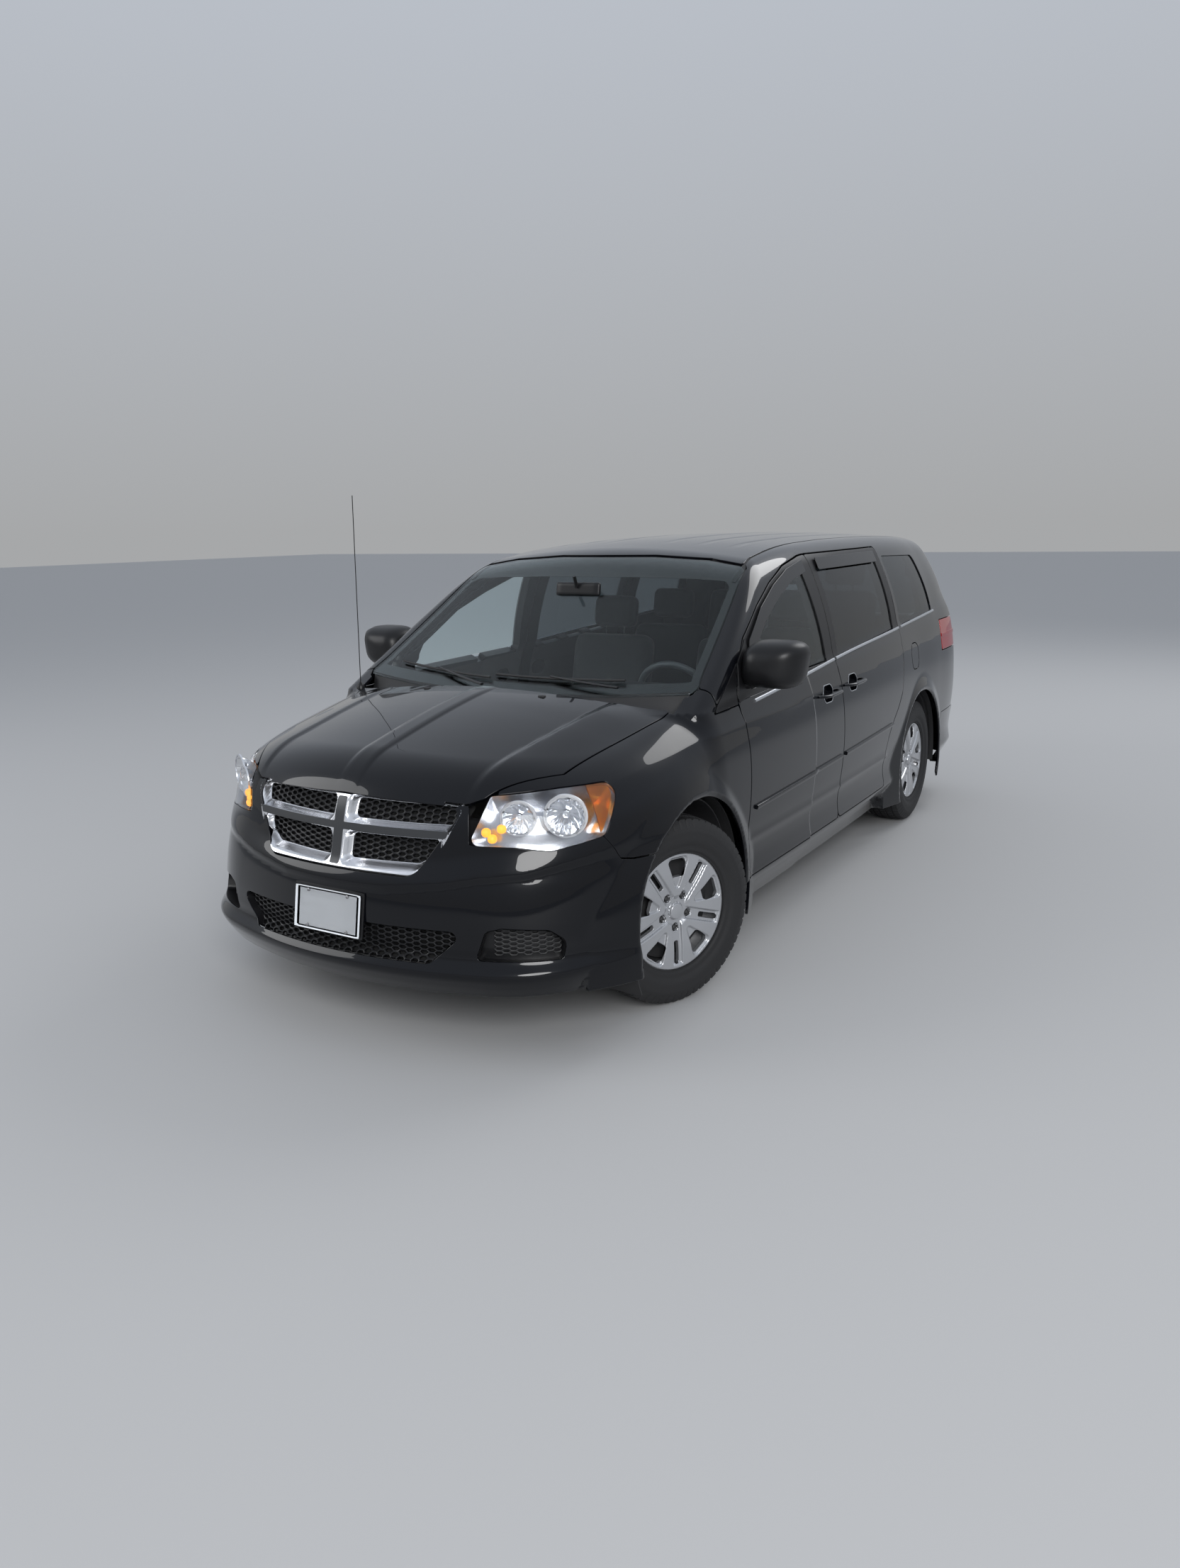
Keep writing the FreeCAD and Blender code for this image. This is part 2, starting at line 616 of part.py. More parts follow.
# Door mirrors
mirror_rows = ((-1085.0, 0.62), (-1040.0, 0.92), (-980.0, 1.0), (-930.0, 0.97))
mirror_wires = []
for y, scale in mirror_rows:
    half_wide = 108.0 * scale
    half_high = 84.0 * scale
    middle_x = 1015.0
    middle_z = 1212.0
    mirror_wires.append(outline([
        (middle_x - half_wide, middle_z - half_high * 0.8),
        (middle_x, middle_z - half_high, "arc"),
        (middle_x + half_wide, middle_z - half_high * 0.7),
        (middle_x + half_wide + 5, middle_z, "arc"),
        (middle_x + half_wide * 0.95, middle_z + half_high * 0.8),
        (middle_x, middle_z + half_high, "arc"),
        (middle_x - half_wide, middle_z + half_high * 0.85),
    ], "front", door_front_y + 1130.5 + y))
door_mirror = Part.makeLoft(mirror_wires, True, False)
foot = box(840.0, 960.0, door_front_y + 70, door_front_y + 150, 1128.0, 1165.0)
door_mirror = door_mirror.fuse(foot).cut(tube(-seat_gap))
save(door_mirror, "mirror_left")
save(mirror(door_mirror), "mirror_right")

# Hood
hood = nose(0.0).cut(nose(hood_wall)).common(hood_zone(hood_low_z, 0.0))
# A raised spine runs down the middle, and the middle panel stands over the two outer ones
fold_points = both_sides([(fold_front_x, nose_y + 200), (fold_rear_x, hood_rear_y - 90)])
spine_points = both_sides([(spine_half, nose_y + 230), (spine_half, hood_rear_y - 50)])
for points, rise in ((fold_points, fold_rise), (spine_points, fold_rise + spine_rise)):
    raised = nose(-rise).cut(nose(hood_wall / 2)).common(prism(points, "top", hood_low_z, 1300.0))
    hood = hood.fuse(raised)
hood = hood.cut(lamp_zone(panel_gap)).cut(mirror(lamp_zone(panel_gap)))
hood_hinge_x = 736.0
hood_hinge_y = front_axle_y + 170.0
hood_hinge_z = 1052.0
arm = box(hood_hinge_x - 8, hood_hinge_x, hood_hinge_y - 60, hood_hinge_y + 12, hood_hinge_z - 12,
          hood_hinge_z + 12)
arm = arm.fuse(box(hood_hinge_x - 8, hood_hinge_x, hood_hinge_y - 60, hood_hinge_y - 34, hood_hinge_z,
                   hood_hinge_z + 60))
arm = arm.common(nose(hood_wall / 2))
arm = arm.cut(Part.makeCylinder(hinge_pin + running_gap, 60.0,
                                V(hood_hinge_x - 30, hood_hinge_y, hood_hinge_z), V(1, 0, 0)))
hood = hood.fuse(arm).fuse(mirror(arm))
save(hood, "hood")

# Cowl: the plenum under the windscreen's foot, with the hood's hinge pins and the wipers
cowl_half = 760.0
cowl = box(-cowl_half, cowl_half, front_axle_y + 120, bulkhead_y, 985.0, 1020.0)
cowl = cowl.fuse(box(-700.0, 700.0, hood_corner_y + 12, bulkhead_y, 1019.0, 1060.0))
for side in (1, -1):
    low, high = sorted((side * (hood_hinge_x + 6), side * (hood_hinge_x + 14)))
    cowl = cowl.fuse(box(low, high, hood_hinge_y - 14, hood_hinge_y + 14, 1000.0, hood_hinge_z + 14))
    start = V(side * (hood_hinge_x - 14), hood_hinge_y, hood_hinge_z)
    end = V(side * (hood_hinge_x + 10), hood_hinge_y, hood_hinge_z)
    cowl = cowl.fuse(rod(start, end, hinge_pin))
save(cowl, "cowl")

# Lamps, grille and bumpers share the nose form
grille_outline = both_sides([(295.0, 640.0), (340.0, 655.0), (492.0, 868.0)])
grille_outline.insert(3, (0.0, 884.0, "arc"))
lower_grille_outline = both_sides([(470.0, 352.0), (500.0, 370.0), (500.0, 415.0), (470.0, 440.0)])
fog_outline = [(570.0, 385.0), (570.0, 470.0), (800.0, 500.0), (830.0, 440.0), (800.0, 385.0)]
bowl = nose(2.0 + glass_wall + seat_gap).cut(nose(130.0)).common(lamp_zone(-seat_gap))
for bowl_x, bowl_y, bowl_z, bowl_r in ((600.0, nose_y + 215, 812.0, 62.0),
                                       (745.0, nose_y + 310, 835.0, 74.0)):
    bowl = bowl.cut(Part.makeSphere(bowl_r, V(bowl_x, bowl_y, bowl_z)))
lens = nose(2.0).cut(nose(2.0 + glass_wall)).common(lamp_zone(-seat_gap))
save(Part.makeCompound([bowl, mirror(bowl)]), "headlamps")
save(Part.makeCompound([lens, mirror(lens)]), "headlamp_lenses")

# Front bumper, with the lower intake, the two side recesses and the lip
bumper_side = [
    (nose_y - 50, 150.0),
    (nose_y - 50, 879.0),
    (front_axle_y - 620, 879.0),
    (front_axle_y - 570, 765.0),
    (front_axle_y - 570, 700.0),
    (front_axle_y - 290, 660.0),
    (front_axle_y - 290, 150.0),
]
bumper = nose(0.0).cut(nose(bumper_wall)).common(prism(bumper_side, "side", -side_out, side_out))
bumper = bumper.cut(box(-760.0, 760.0, nose_y - 60, front_axle_y, 100.0,
                        300.0).cut(box(-1000.0, 1000.0, nose_y - 60, nose_y + 200, 240.0, 300.0)))
for zone in (lamp_zone(0.0), mirror(lamp_zone(0.0))):
    bumper = bumper.cut(zone)
bumper = bumper.cut(prism(grille_outline, "front", nose_y - 60, front_axle_y - 300, seat_gap))
bumper = bumper.cut(hood_zone(hood_low_z - panel_gap, panel_gap))
bumper = bumper.cut(prism(lower_grille_outline, "front", nose_y - 60, front_axle_y - 300))
for side in (1, -1):
    cut_arch = arch(front_axle_y, 300.0, side_out, arch_radius)
    bumper = bumper.cut(cut_arch if side > 0 else mirror(cut_arch))
    recess = prism(fog_outline, "front", nose_y - 60, front_axle_y - 300)
    recess = recess.cut(nose(16.0))
    bumper = bumper.cut(recess if side > 0 else mirror(recess))
front_flare = flare(front_axle_y, body_half_width - fender_seat)
flare_front = front_flare.common(box(0.0, side_out, nose_y, front_axle_y - 290, 150.0, 660.0))
for lip in (flare_front, mirror(flare_front)):
    bumper = bumper.fuse(lip)
save(bumper, "front_bumper")

# Grille surround with its crossing bars, and the mesh behind it
grille_block = nose(-14.0).cut(nose(20.0))
grille_face = prism(grille_outline, "front", nose_y - 60, front_axle_y - 300)
surround = grille_block.common(grille_face).cut(prism(grille_outline, "front", nose_y - 60,
                                                      front_axle_y - 300, -34.0))
cross = box(-22.0, 22.0, nose_y - 60, front_axle_y, 600.0,
            900.0).fuse(box(-500.0, 500.0, nose_y - 60, front_axle_y, 762.0, 806.0))
surround = surround.fuse(nose(-10.0).cut(nose(16.0)).common(grille_face).common(cross))
save(surround, "grille_surround")
mesh_upper = nose(20.0 + seat_gap).cut(nose(30.0))
mesh_upper = mesh_upper.common(prism(grille_outline, "front", nose_y - 60, front_axle_y - 300, -seat_gap))
mesh_lower = nose(10.0).cut(nose(18.0))
mesh_lower = mesh_lower.common(prism(lower_grille_outline, "front", nose_y - 60, front_axle_y - 300,
                                     -seat_gap))
save(Part.makeCompound([mesh_upper, mesh_lower]), "grille_mesh")

# Fenders
fender_outline = [
    (door_front_y - door_gap, sill_z - 20),
    (door_front_y - door_gap, 1058.0),
    (front_axle_y + 500, 1300.0),
    (nose_y + 300, 1300.0),
    (front_axle_y - 500, 930.0),
    (front_axle_y - 565, 770.0),
    (front_axle_y - 565, 705.0),
    (front_axle_y - 290 + panel_gap, 665.0),
    (front_axle_y - 290 + panel_gap, sill_z - 20),
]
fender = nose(0.0).cut(nose(skin)).common(prism(fender_outline, "side", 300.0, side_out))
fender = fender.cut(hood_zone(500.0, panel_gap))
fender = fender.cut(lamp_zone(panel_gap))
fender = fender.cut(box(0.0, hood_rear_x + panel_gap, hood_corner_y - 20, door_front_y + 50, 800.0, 1400.0))
fender = fender.cut(box(0.0, hood_rear_x - 15, hood_rear_y, hood_corner_y, 800.0, 1400.0))
fender = fender.cut(box(0.0, side_out, front_axle_y + 190 - seat_gap, door_front_y + 50, 1060.0 - seat_gap,
                        1400.0))
fender = fender.fuse(front_flare.common(box(0.0, side_out, front_axle_y - 285, front_axle_y + 600, 300.0,
                                            2000.0)))
fender = fender.cut(arch(front_axle_y, 300.0, side_out, arch_radius))
fender = fender.cut(box(300.0, side_out, door_front_y - door_gap, door_front_y + 300, 100.0, 1300.0))
save(fender, "fender_left")
save(mirror(fender), "fender_right")

# Tailgate with its glass, tail lamps and rear bumper
tailgate_zone = prism(tailgate_outline, "front", tail_y - 400, tail_y + 10)
tailgate = cabin(0.0).cut(cabin(tailgate_wall)).common(tailgate_zone)
tailgate = tailgate.cut(box(-900.0, 900.0, tail_y - 500, tail_y - 290, 1500.0, 1800.0))
back_glass_zone = prism(back_glass_outline, "front", tail_y - 400, tail_y + 10)
tailgate = tailgate.cut(back_glass_zone)
# Recess and screw holes for a rear number plate
rear_plate_z = 885.0
rear_plate_y = tail_y - 98.0
tailgate = tailgate.cut(box(-165.0, 165.0, rear_plate_y, tail_y, rear_plate_z - 86, rear_plate_z + 86))
for hole_x in (-plate_hole_x / 2, plate_hole_x / 2):
    for hole_z in (rear_plate_z - plate_hole_z / 2, rear_plate_z + plate_hole_z / 2):
        tailgate = tailgate.cut(rod(V(hole_x, rear_plate_y - 25, hole_z), V(hole_x, tail_y, hole_z),
                                    plate_hole_radius))
back_glass = cabin(4.0).cut(cabin(4.0 + glass_wall)).common(
    prism(back_glass_outline, "front", tail_y - 400, tail_y + 10, -seat_gap))
for side in (1, -1):
    slot_low, slot_high = sorted((side * (tailgate_hinge_x - 14), side * (tailgate_hinge_x + 22)))
    slot = box(slot_low, slot_high, tailgate_hinge_y - 60, tailgate_hinge_y + 22, tailgate_hinge_z - 30,
               1660.0)
    tailgate = tailgate.cut(slot)
    hinge_rod = rod(V(slot_low - 1, tailgate_hinge_y, tailgate_hinge_z),
                    V(slot_high + 1, tailgate_hinge_y, tailgate_hinge_z), hinge_pin)
    tailgate = tailgate.fuse(hinge_rod)
save(tailgate, "tailgate")
save(back_glass, "tailgate_glass")

tail_lamp = tail_lamp_form.common(tail_lamp_zone)
save(Part.makeCompound([tail_lamp, mirror(tail_lamp)]), "tail_lamps")


def rear_plan(inset):
    half = [
        (965.0 - inset, rear_axle_y + 330),
        (962.0 - inset, tail_y - 330),
        (925.0 - inset, tail_y - 130 - inset * 0.4, "arc"),
        (790.0 - inset * 0.6, tail_y - 45 - inset),
        (0.0, tail_y - inset, "arc"),
    ]
    return half + [(-point[0],) + tuple(point[1:]) for point in reversed(half[:-1])]


rear_bumper = prism(rear_plan(0.0), "top", 250.0,
                    560.0 - seat_gap).cut(prism(rear_plan(bumper_wall), "top", 240.0, 520.0))
rear_bumper = rear_bumper.cut(prism(rear_plan(110.0), "top", 240.0, 600.0))
for side in (1, -1):
    cut_arch = arch(rear_axle_y, 300.0, side_out, arch_radius + 5)
    rear_bumper = rear_bumper.cut(cut_arch if side > 0 else mirror(cut_arch))
save(rear_bumper, "rear_bumper")

# Engine, one plain block, and the front carrier with arms and half shafts
carrier_top_z = 299.0
engine = box(-400.0, 400.0, front_axle_y - 400, front_axle_y + 60, carrier_top_z + seat_gap, 890.0)
save(engine, "engine_block")
subframe = box(-430.0, 430.0, front_axle_y - 60, front_axle_y + 230, 205.0, carrier_top_z)
subframe = subframe.cut(box(-300.0, 300.0, front_axle_y + 40, front_axle_y + 160, 190.0, 320.0))
for side in (1, -1):
    arm_points = [
        (side * 420.0, front_axle_y - 50), (side * 700.0, front_axle_y - 28),
        (side * 735.0, front_axle_y - 26), (side * 735.0, front_axle_y + 26),
        (side * 700.0, front_axle_y + 28), (side * 420.0, front_axle_y + 210),
    ]
    subframe = subframe.fuse(prism(arm_points, "top", 215.0, 240.0))
    subframe = subframe.fuse(Part.makeCylinder(16.0, 34.0, V(side * steer_axis_x, front_axle_y, 215.0)))
    tip = box(min(side * 730.0, side * steer_axis_x), max(side * 730.0, side * steer_axis_x),
              front_axle_y - 16, front_axle_y + 16, 215.0, 240.0)
    subframe = subframe.fuse(tip)
strut_x = 630.0
upper_joint_z = 488.0
carriers = [subframe.removeSplitter()]
for side in (1, -1):
    # Each strut stands under its wheel house and holds the knuckle's upper pivot
    strut = Part.makeCylinder(26.0, 305.0, V(side * strut_x, front_axle_y, 469.0))
    strut = strut.fuse(Part.makeCylinder(42.0, 90.0, V(side * strut_x, front_axle_y, 640.0)))
    low, high = sorted((side * strut_x, side * steer_axis_x))
    strut = strut.fuse(box(low, high, front_axle_y - 18, front_axle_y + 18, upper_joint_z + seat_gap,
                           upper_joint_z + 24))
    eye = Part.makeCylinder(20.0, 24.0 - seat_gap,
                            V(side * steer_axis_x, front_axle_y, upper_joint_z + seat_gap))
    strut = strut.fuse(eye)
    strut = strut.cut(Part.makeCylinder(10.0 + running_gap, 60.0,
                                        V(side * steer_axis_x, front_axle_y, upper_joint_z - 20)))
    carriers.append(strut)
save(Part.makeCompound(carriers), "front_subframe")

# Knuckles: made straight ahead, then turned with the wheel to the resting angle


def steer(shape, side):
    turned = shape.copy()
    turned.rotate(V(side * steer_axis_x, front_axle_y, 0), V(0, 0, 1), -rest_steer)
    return turned


def knuckle(side):
    centre = V(side * steer_axis_x, front_axle_y, tyre_radius)
    ring = Part.makeCylinder(66.0, 36.0, V(side * steer_axis_x - 18, front_axle_y, tyre_radius), V(1, 0, 0))
    bore = Part.makeCylinder(46.0, 80.0, V(side * steer_axis_x - 40, front_axle_y, tyre_radius), V(1, 0, 0))
    made = ring.cut(bore)
    lower = Part.makeCylinder(24.0, 66.0, V(side * steer_axis_x, front_axle_y, 240.4))
    lower = lower.fuse(box(side * steer_axis_x - 24, side * steer_axis_x + 24, front_axle_y - 24,
                           front_axle_y + 24, 270.0, 310.0))
    lower = lower.cut(Part.makeCylinder(16.0 + running_gap, 12.0,
                                        V(side * steer_axis_x, front_axle_y, 238.0)))
    upper = Part.makeCylinder(20.0, upper_joint_z - 412.0, V(side * steer_axis_x, front_axle_y, 412.0))
    upper = upper.fuse(Part.makeCylinder(10.0, 60.0,
                                         V(side * steer_axis_x, front_axle_y, upper_joint_z - 30)))
    plate_x = side * (steer_axis_x + 18)
    flange = Part.makeCylinder(66.0, 8.0, V(plate_x if side > 0 else plate_x - 8, front_axle_y, tyre_radius),
                               V(1, 0, 0))
    spindle_length = track_front / 2 - steer_axis_x + 26.0
    start = V(side * (steer_axis_x + 20), front_axle_y, tyre_radius)
    spindle = Part.makeCylinder(hub_radius, spindle_length, start, V(side, 0, 0))
    made = made.fuse(lower).fuse(upper.cut(bore)).fuse(flange).fuse(spindle)
    return made, centre


for side, name in ((1, "left"), (-1, "right")):
    made, centre = knuckle(side)
    save(steer(made.removeSplitter(), side), "knuckle_" + name)

# The outer end of each shaft is short enough to clear the flange at full lock
shafts = []
shaft_end_half = 5.0
for side in (1, -1):
    joint = V(side * steer_axis_x, front_axle_y, tyre_radius)
    inner = V(side * (400.0 + seat_gap), front_axle_y, tyre_radius)
    end = Part.makeCylinder(15.0, 2 * shaft_end_half, joint.sub(V(shaft_end_half, 0.0, 0.0)), V(1, 0, 0))
    shafts.append(rod(inner, joint, 14.0).fuse(end))
save(Part.makeCompound(shafts), "half_shafts")

# Wheels and tyres
def ring_of(profile, axle_x, axle_y, side):
    # profile: (distance outboard of the wheel's middle plane, radius)
    points = [V(axle_x + side * across, axle_y, tyre_radius + radius) for across, radius in profile]
    wire = Part.makePolygon(points + [points[0]])
    return Part.Face(wire).revolve(V(axle_x, axle_y, tyre_radius), V(1, 0, 0), 360)


def tyre(axle_x, axle_y, side):
    half = tyre_width / 2
    profile = [
        (-half + 14, rim_radius + 2), (-half, rim_radius + 65), (-half + 9, tyre_radius - 20),
        (-half + 34, tyre_radius), (half - 34, tyre_radius), (half - 9, tyre_radius - 20),
        (half, rim_radius + 65), (half - 14, rim_radius + 2),
    ]
    return ring_of(profile, axle_x, axle_y, side)


cover_depth = 70.0


def wheel(axle_x, axle_y, side):
    half = rim_width / 2
    rim = ring_of([
        (-half - 6, rim_radius - 18), (-half - 6, rim_radius + 1.5), (-half + 4, rim_radius + 1.5),
        (half - 4, rim_radius + 1.5), (half + 6, rim_radius + 1.5), (half + 6, rim_radius - 12),
        (half - 6, rim_radius - 16), (-half + 6, rim_radius - 22),
    ], axle_x, axle_y, side)
    cover = ring_of([
        (cover_depth - 22, 0.01), (cover_depth + 12, 0.01), (cover_depth + 12, 38.0), (cover_depth + 4, 60.0),
        (cover_depth + 16, rim_radius - 40), (cover_depth + 14, rim_radius - 10), (cover_depth - 14,
                                                                                   rim_radius - 10),
        (cover_depth - 14, rim_radius - 30), (cover_depth - 14, 80.0), (cover_depth - 22, 70.0),
    ], axle_x, axle_y, side)
    window = prism([
        (-38.0, 96.0), (-62.0, rim_radius - 42), (0.0, rim_radius - 28,
                                                  "arc"), (62.0, rim_radius - 42), (38.0, 96.0),
        (0.0, 90.0, "arc"),
    ], "side", axle_x - 300, axle_x + 300)
    slot = prism([
        (-9.0, 112.0), (-15.0, rim_radius - 40), (0.0, rim_radius - 32,
                                                  "arc"), (15.0, rim_radius - 40), (9.0, 112.0),
    ], "side", axle_x - 300, axle_x + 300)
    for step in range(5):
        for cutter, start in ((window, 0.0), (slot, 36.0)):
            turned = cutter.copy()
            turned.translate(V(0, axle_y, tyre_radius))
            turned.rotate(V(axle_x, axle_y, tyre_radius), V(1, 0, 0), start + 72.0 * step)
            cover = cover.cut(turned)
    hub_inner = ring_of([(12.0, hub_radius + running_gap), (12.0, 78.0), (cover_depth - 21, 78.0),
                         (cover_depth - 21, hub_radius + running_gap)],
                        axle_x, axle_y, side)
    return rim.fuse(cover).fuse(hub_inner)


for side, name in ((1, "left"), (-1, "right")):
    front_x = side * track_front / 2
    rear_x = side * track_rear / 2
    save(steer(tyre(front_x, front_axle_y, side), side), "tyre_front_" + name)
    save(steer(wheel(front_x, front_axle_y, side), side), "wheel_front_" + name)
    save(tyre(rear_x, rear_axle_y, side), "tyre_rear_" + name)
    save(wheel(rear_x, rear_axle_y, side), "wheel_rear_" + name)

# Rear axle: the twist beam, trailing arms, spindles and springs
rear_beam = rod(V(-600, rear_axle_y - 60, 330), V(600, rear_axle_y - 60, 330), 34.0)
for side in (1, -1):
    low, high = sorted((side * 560.0, side * 620.0))
    rear_beam = rear_beam.fuse(box(low, high, rear_axle_y - 420 + seat_gap, rear_axle_y + 60, 300.0, 352.0))
    rear_beam = rear_beam.fuse(Part.makeCylinder(55.0, 60.0, V(low, rear_axle_y, tyre_radius), V(1, 0, 0)))
    reach = track_rear / 2 + 34.0 - 610.0
    rear_beam = rear_beam.fuse(Part.makeCylinder(hub_radius, reach, V(side * 610.0, rear_axle_y, tyre_radius),
                                                 V(side, 0, 0)))
    rear_beam = rear_beam.fuse(Part.makeCylinder(45.0, 199.6, V(side * 560.0, rear_axle_y + 20, 340.0)))
    rear_beam = rear_beam.fuse(box(low, high, rear_axle_y - 420 + seat_gap, rear_axle_y - 360, 300.0, 400.0))
save(rear_beam.removeSplitter(), "rear_axle")

# Exhaust and fuel tank under the floor
floor_under = ground_gap + 30
exhaust = rod(V(180, front_axle_y + 300, 165), V(180, rear_axle_y - 520, 165), 28.0)
tank = box(-620.0, 60.0, b_gap_y - 100, rear_axle_y - 560, floor_under - 95, floor_under - seat_gap)
save(tank, "fuel_tank")
silencer = box(110.0, 320.0, b_gap_y + 100, b_gap_y + 700, 125.0, floor_under - seat_gap)
save(exhaust.fuse(silencer), "exhaust")

# Inside: dashboard, steering wheel, seats
floor_top = ground_gap + 62
dash_back_y = front_axle_y + 800
dash_profile = [
    (bulkhead_y + 20 + seat_gap, 640.0),
    (bulkhead_y + 20 + seat_gap, 1040.0),
    (dash_back_y - 240, 1075.0, "arc"),
    (dash_back_y, 1010.0),
    (dash_back_y + 20, 860.0, "arc"),
    (dash_back_y - 60, 640.0),
    (dash_back_y - 200, 560.0),
]
dash = prism(dash_profile, "side", -745.0, 745.0)
console = box(-130.0, 130.0, dash_back_y - 260, dash_back_y - 40, floor_top + seat_gap, 600.0)
wheel_centre = V(375.0, dash_back_y + 210, 985.0)
column_axis = V(0.0, 0.9, 0.436)
column_start = wheel_centre.sub(V(0.0, 0.9 * 300, 0.436 * 300))
column_end = wheel_centre.sub(V(0.0, 0.9 * 40, 0.436 * 40))
dash = dash.fuse(console).fuse(rod(column_start, column_end, 34.0))
rim_round = 188.0
rim_thick = 15.0
shaft_end = wheel_centre.add(V(0.0, 0.9 * -10, 0.436 * -10))
dash = dash.fuse(rod(column_start, shaft_end, 12.0))
save(dash, "dashboard")

rim_points = []
for step in range(8):
    turn = math.radians(45.0 * step)
    lift = rim_thick * math.sin(turn)
    rim_points.append(wheel_centre.add(V(rim_round + rim_thick * math.cos(turn), 0.9 * lift, 0.436 * lift)))
rim_ring = Part.Face(Part.makePolygon(rim_points + rim_points[:1])).revolve(wheel_centre, column_axis, 360)
boss = rod(wheel_centre.sub(V(0.0, 0.9 * 32, 0.436 * 32)), wheel_centre.add(V(0.0, 0.9 * 14, 0.436 * 14)),
           62.0)
boss = boss.cut(rod(wheel_centre.sub(V(0.0, 0.9 * 60, 0.436 * 60)),
                    wheel_centre.sub(V(0.0, 0.9 * 9, 0.436 * 9)), 12.0 + running_gap))
spokes = box(wheel_centre.x - 185, wheel_centre.x + 185, wheel_centre.y - 8, wheel_centre.y + 8,
             wheel_centre.z - 16, wheel_centre.z + 16)
spokes = spokes.fuse(box(wheel_centre.x - 18, wheel_centre.x + 18, wheel_centre.y - 8, wheel_centre.y + 8,
                         wheel_centre.z - 185, wheel_centre.z))
spokes.rotate(wheel_centre, V(1, 0, 0), math.degrees(math.atan2(0.436, 0.9)))
spokes = spokes.cut(rod(column_start, shaft_end, 12.0 + running_gap))
save(rim_ring.fuse(boss).fuse(spokes), "steering_wheel")


def seat(middle_x, front_y, wide, top_z):
    # Cushion, reclined back and head restraint in one form, on a riser
    half = wide / 2
    cushion = box(middle_x - half, middle_x + half, front_y, front_y + 500, top_z - 130, top_z)
    back = prism([
        (front_y + 470, top_z - 90), (front_y + 500, top_z - 20), (front_y + 640, top_z + 560),
        (front_y + 720, top_z + 545), (front_y + 610, top_z - 60), (front_y + 560, top_z - 110),
    ], "side", middle_x - half + 15, middle_x + half - 15)
    riser = box(middle_x - half + 60, middle_x + half - 60, front_y + 60, front_y + 460, floor_top + seat_gap,
                top_z - 120)
    return cushion.fuse(back).fuse(riser)


def head_restraint(middle_x, front_y, top_z):
    rest = box(middle_x - 120, middle_x + 120, front_y + 640, front_y + 730, top_z + 600, top_z + 770)
    posts = box(middle_x - 60, middle_x + 60, front_y + 668, front_y + 690, top_z + 540, top_z + 610)
    return rest.fuse(posts)


front_seats = []
for middle_x in (375.0, -375.0):
    made = seat(middle_x, dash_back_y + 290, 500.0,
                640.0).fuse(head_restraint(middle_x, dash_back_y + 290, 640.0))
    front_seats.append(made)
save(Part.makeCompound(front_seats), "front_seats")
rear_seats = []
for middle_x in (375.0, -375.0):
    made = seat(middle_x, b_gap_y + 160, 500.0, 640.0).fuse(head_restraint(middle_x, b_gap_y + 160, 640.0))
    rear_seats.append(made)
bench = seat(0.0, rear_axle_y - 330, 1150.0, 790.0)
bench = bench.cut(box(-900.0, 900.0, rear_axle_y - 500, tail_y, 0.0, 565.0 + seat_gap))
for middle_x in (-350.0, 0.0, 350.0):
    bench = bench.fuse(head_restraint(middle_x, rear_axle_y - 330, 790.0))
rear_seats.append(bench)
save(Part.makeCompound(rear_seats), "rear_seats")

# Bare number plate on the bumper, and the aerial on the right fender
plate_z = 485.0
plate = box(-plate_wide / 2, plate_wide / 2, nose_y - 200, nose_y + 300,
            plate_z - plate_high / 2, plate_z + plate_high / 2)
plate = plate.common(nose(-9.0)).cut(nose(-seat_gap))
save(plate, "front_plate")
mast_x = -800.0
mast_y = front_axle_y + 60.0
mast_foot_top = 1094.0
mast_foot = Part.makeCylinder(16.0, 84.0, V(mast_x, mast_y, mast_foot_top - 84)).cut(nose(-seat_gap))
mast = mast_foot.fuse(Part.makeCylinder(3.5, 780.0, V(mast_x, mast_y, mast_foot_top - 2)))
save(mast, "antenna")
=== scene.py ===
import math
import bpy
import numpy as np
from mathutils import Matrix


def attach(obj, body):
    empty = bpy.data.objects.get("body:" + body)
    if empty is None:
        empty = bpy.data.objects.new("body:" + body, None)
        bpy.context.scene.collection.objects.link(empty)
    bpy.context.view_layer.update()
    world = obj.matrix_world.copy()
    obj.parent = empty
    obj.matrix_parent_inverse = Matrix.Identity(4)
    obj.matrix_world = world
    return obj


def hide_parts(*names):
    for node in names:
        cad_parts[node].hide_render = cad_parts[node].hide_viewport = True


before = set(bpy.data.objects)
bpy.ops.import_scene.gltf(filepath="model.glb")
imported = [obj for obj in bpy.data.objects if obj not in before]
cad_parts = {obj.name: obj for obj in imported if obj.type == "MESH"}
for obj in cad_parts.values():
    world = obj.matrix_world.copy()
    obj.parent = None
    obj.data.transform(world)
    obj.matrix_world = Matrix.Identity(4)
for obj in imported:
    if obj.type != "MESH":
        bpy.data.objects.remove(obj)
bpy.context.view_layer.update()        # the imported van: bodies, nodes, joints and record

print("minivan: frame loaded with", len(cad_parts), "pieces")

# Driving sizes of the van, in metres. The front faces -Y, the driver's side is +X, the ground is at zero
van = {
    "frontAxleY": -1.6105, "rearAxleY": 1.4675, "doorFrontY": -1.1305, "sillZ": 0.345, "gap": 0.0045,
    "hubZ": 0.362, "archRadius": 0.425, "flareRadius": 0.446, "flareHalfWidth": 0.9755,
    "restSteer": 22.0, "steerAxisX": 0.775, "trackFront": 1.666, "trackRear": 1.646,
}

# The photographer's camera: place, heading, tilt and roll in degrees, focal length in picture heights
view = {"place": (2.722, -5.290, 1.776), "yaw": 31.08, "pitch": 12.81, "roll": -1.01,
        "focalShare": 1603.6 / 2212.0, "sensorHeight": 36.0}


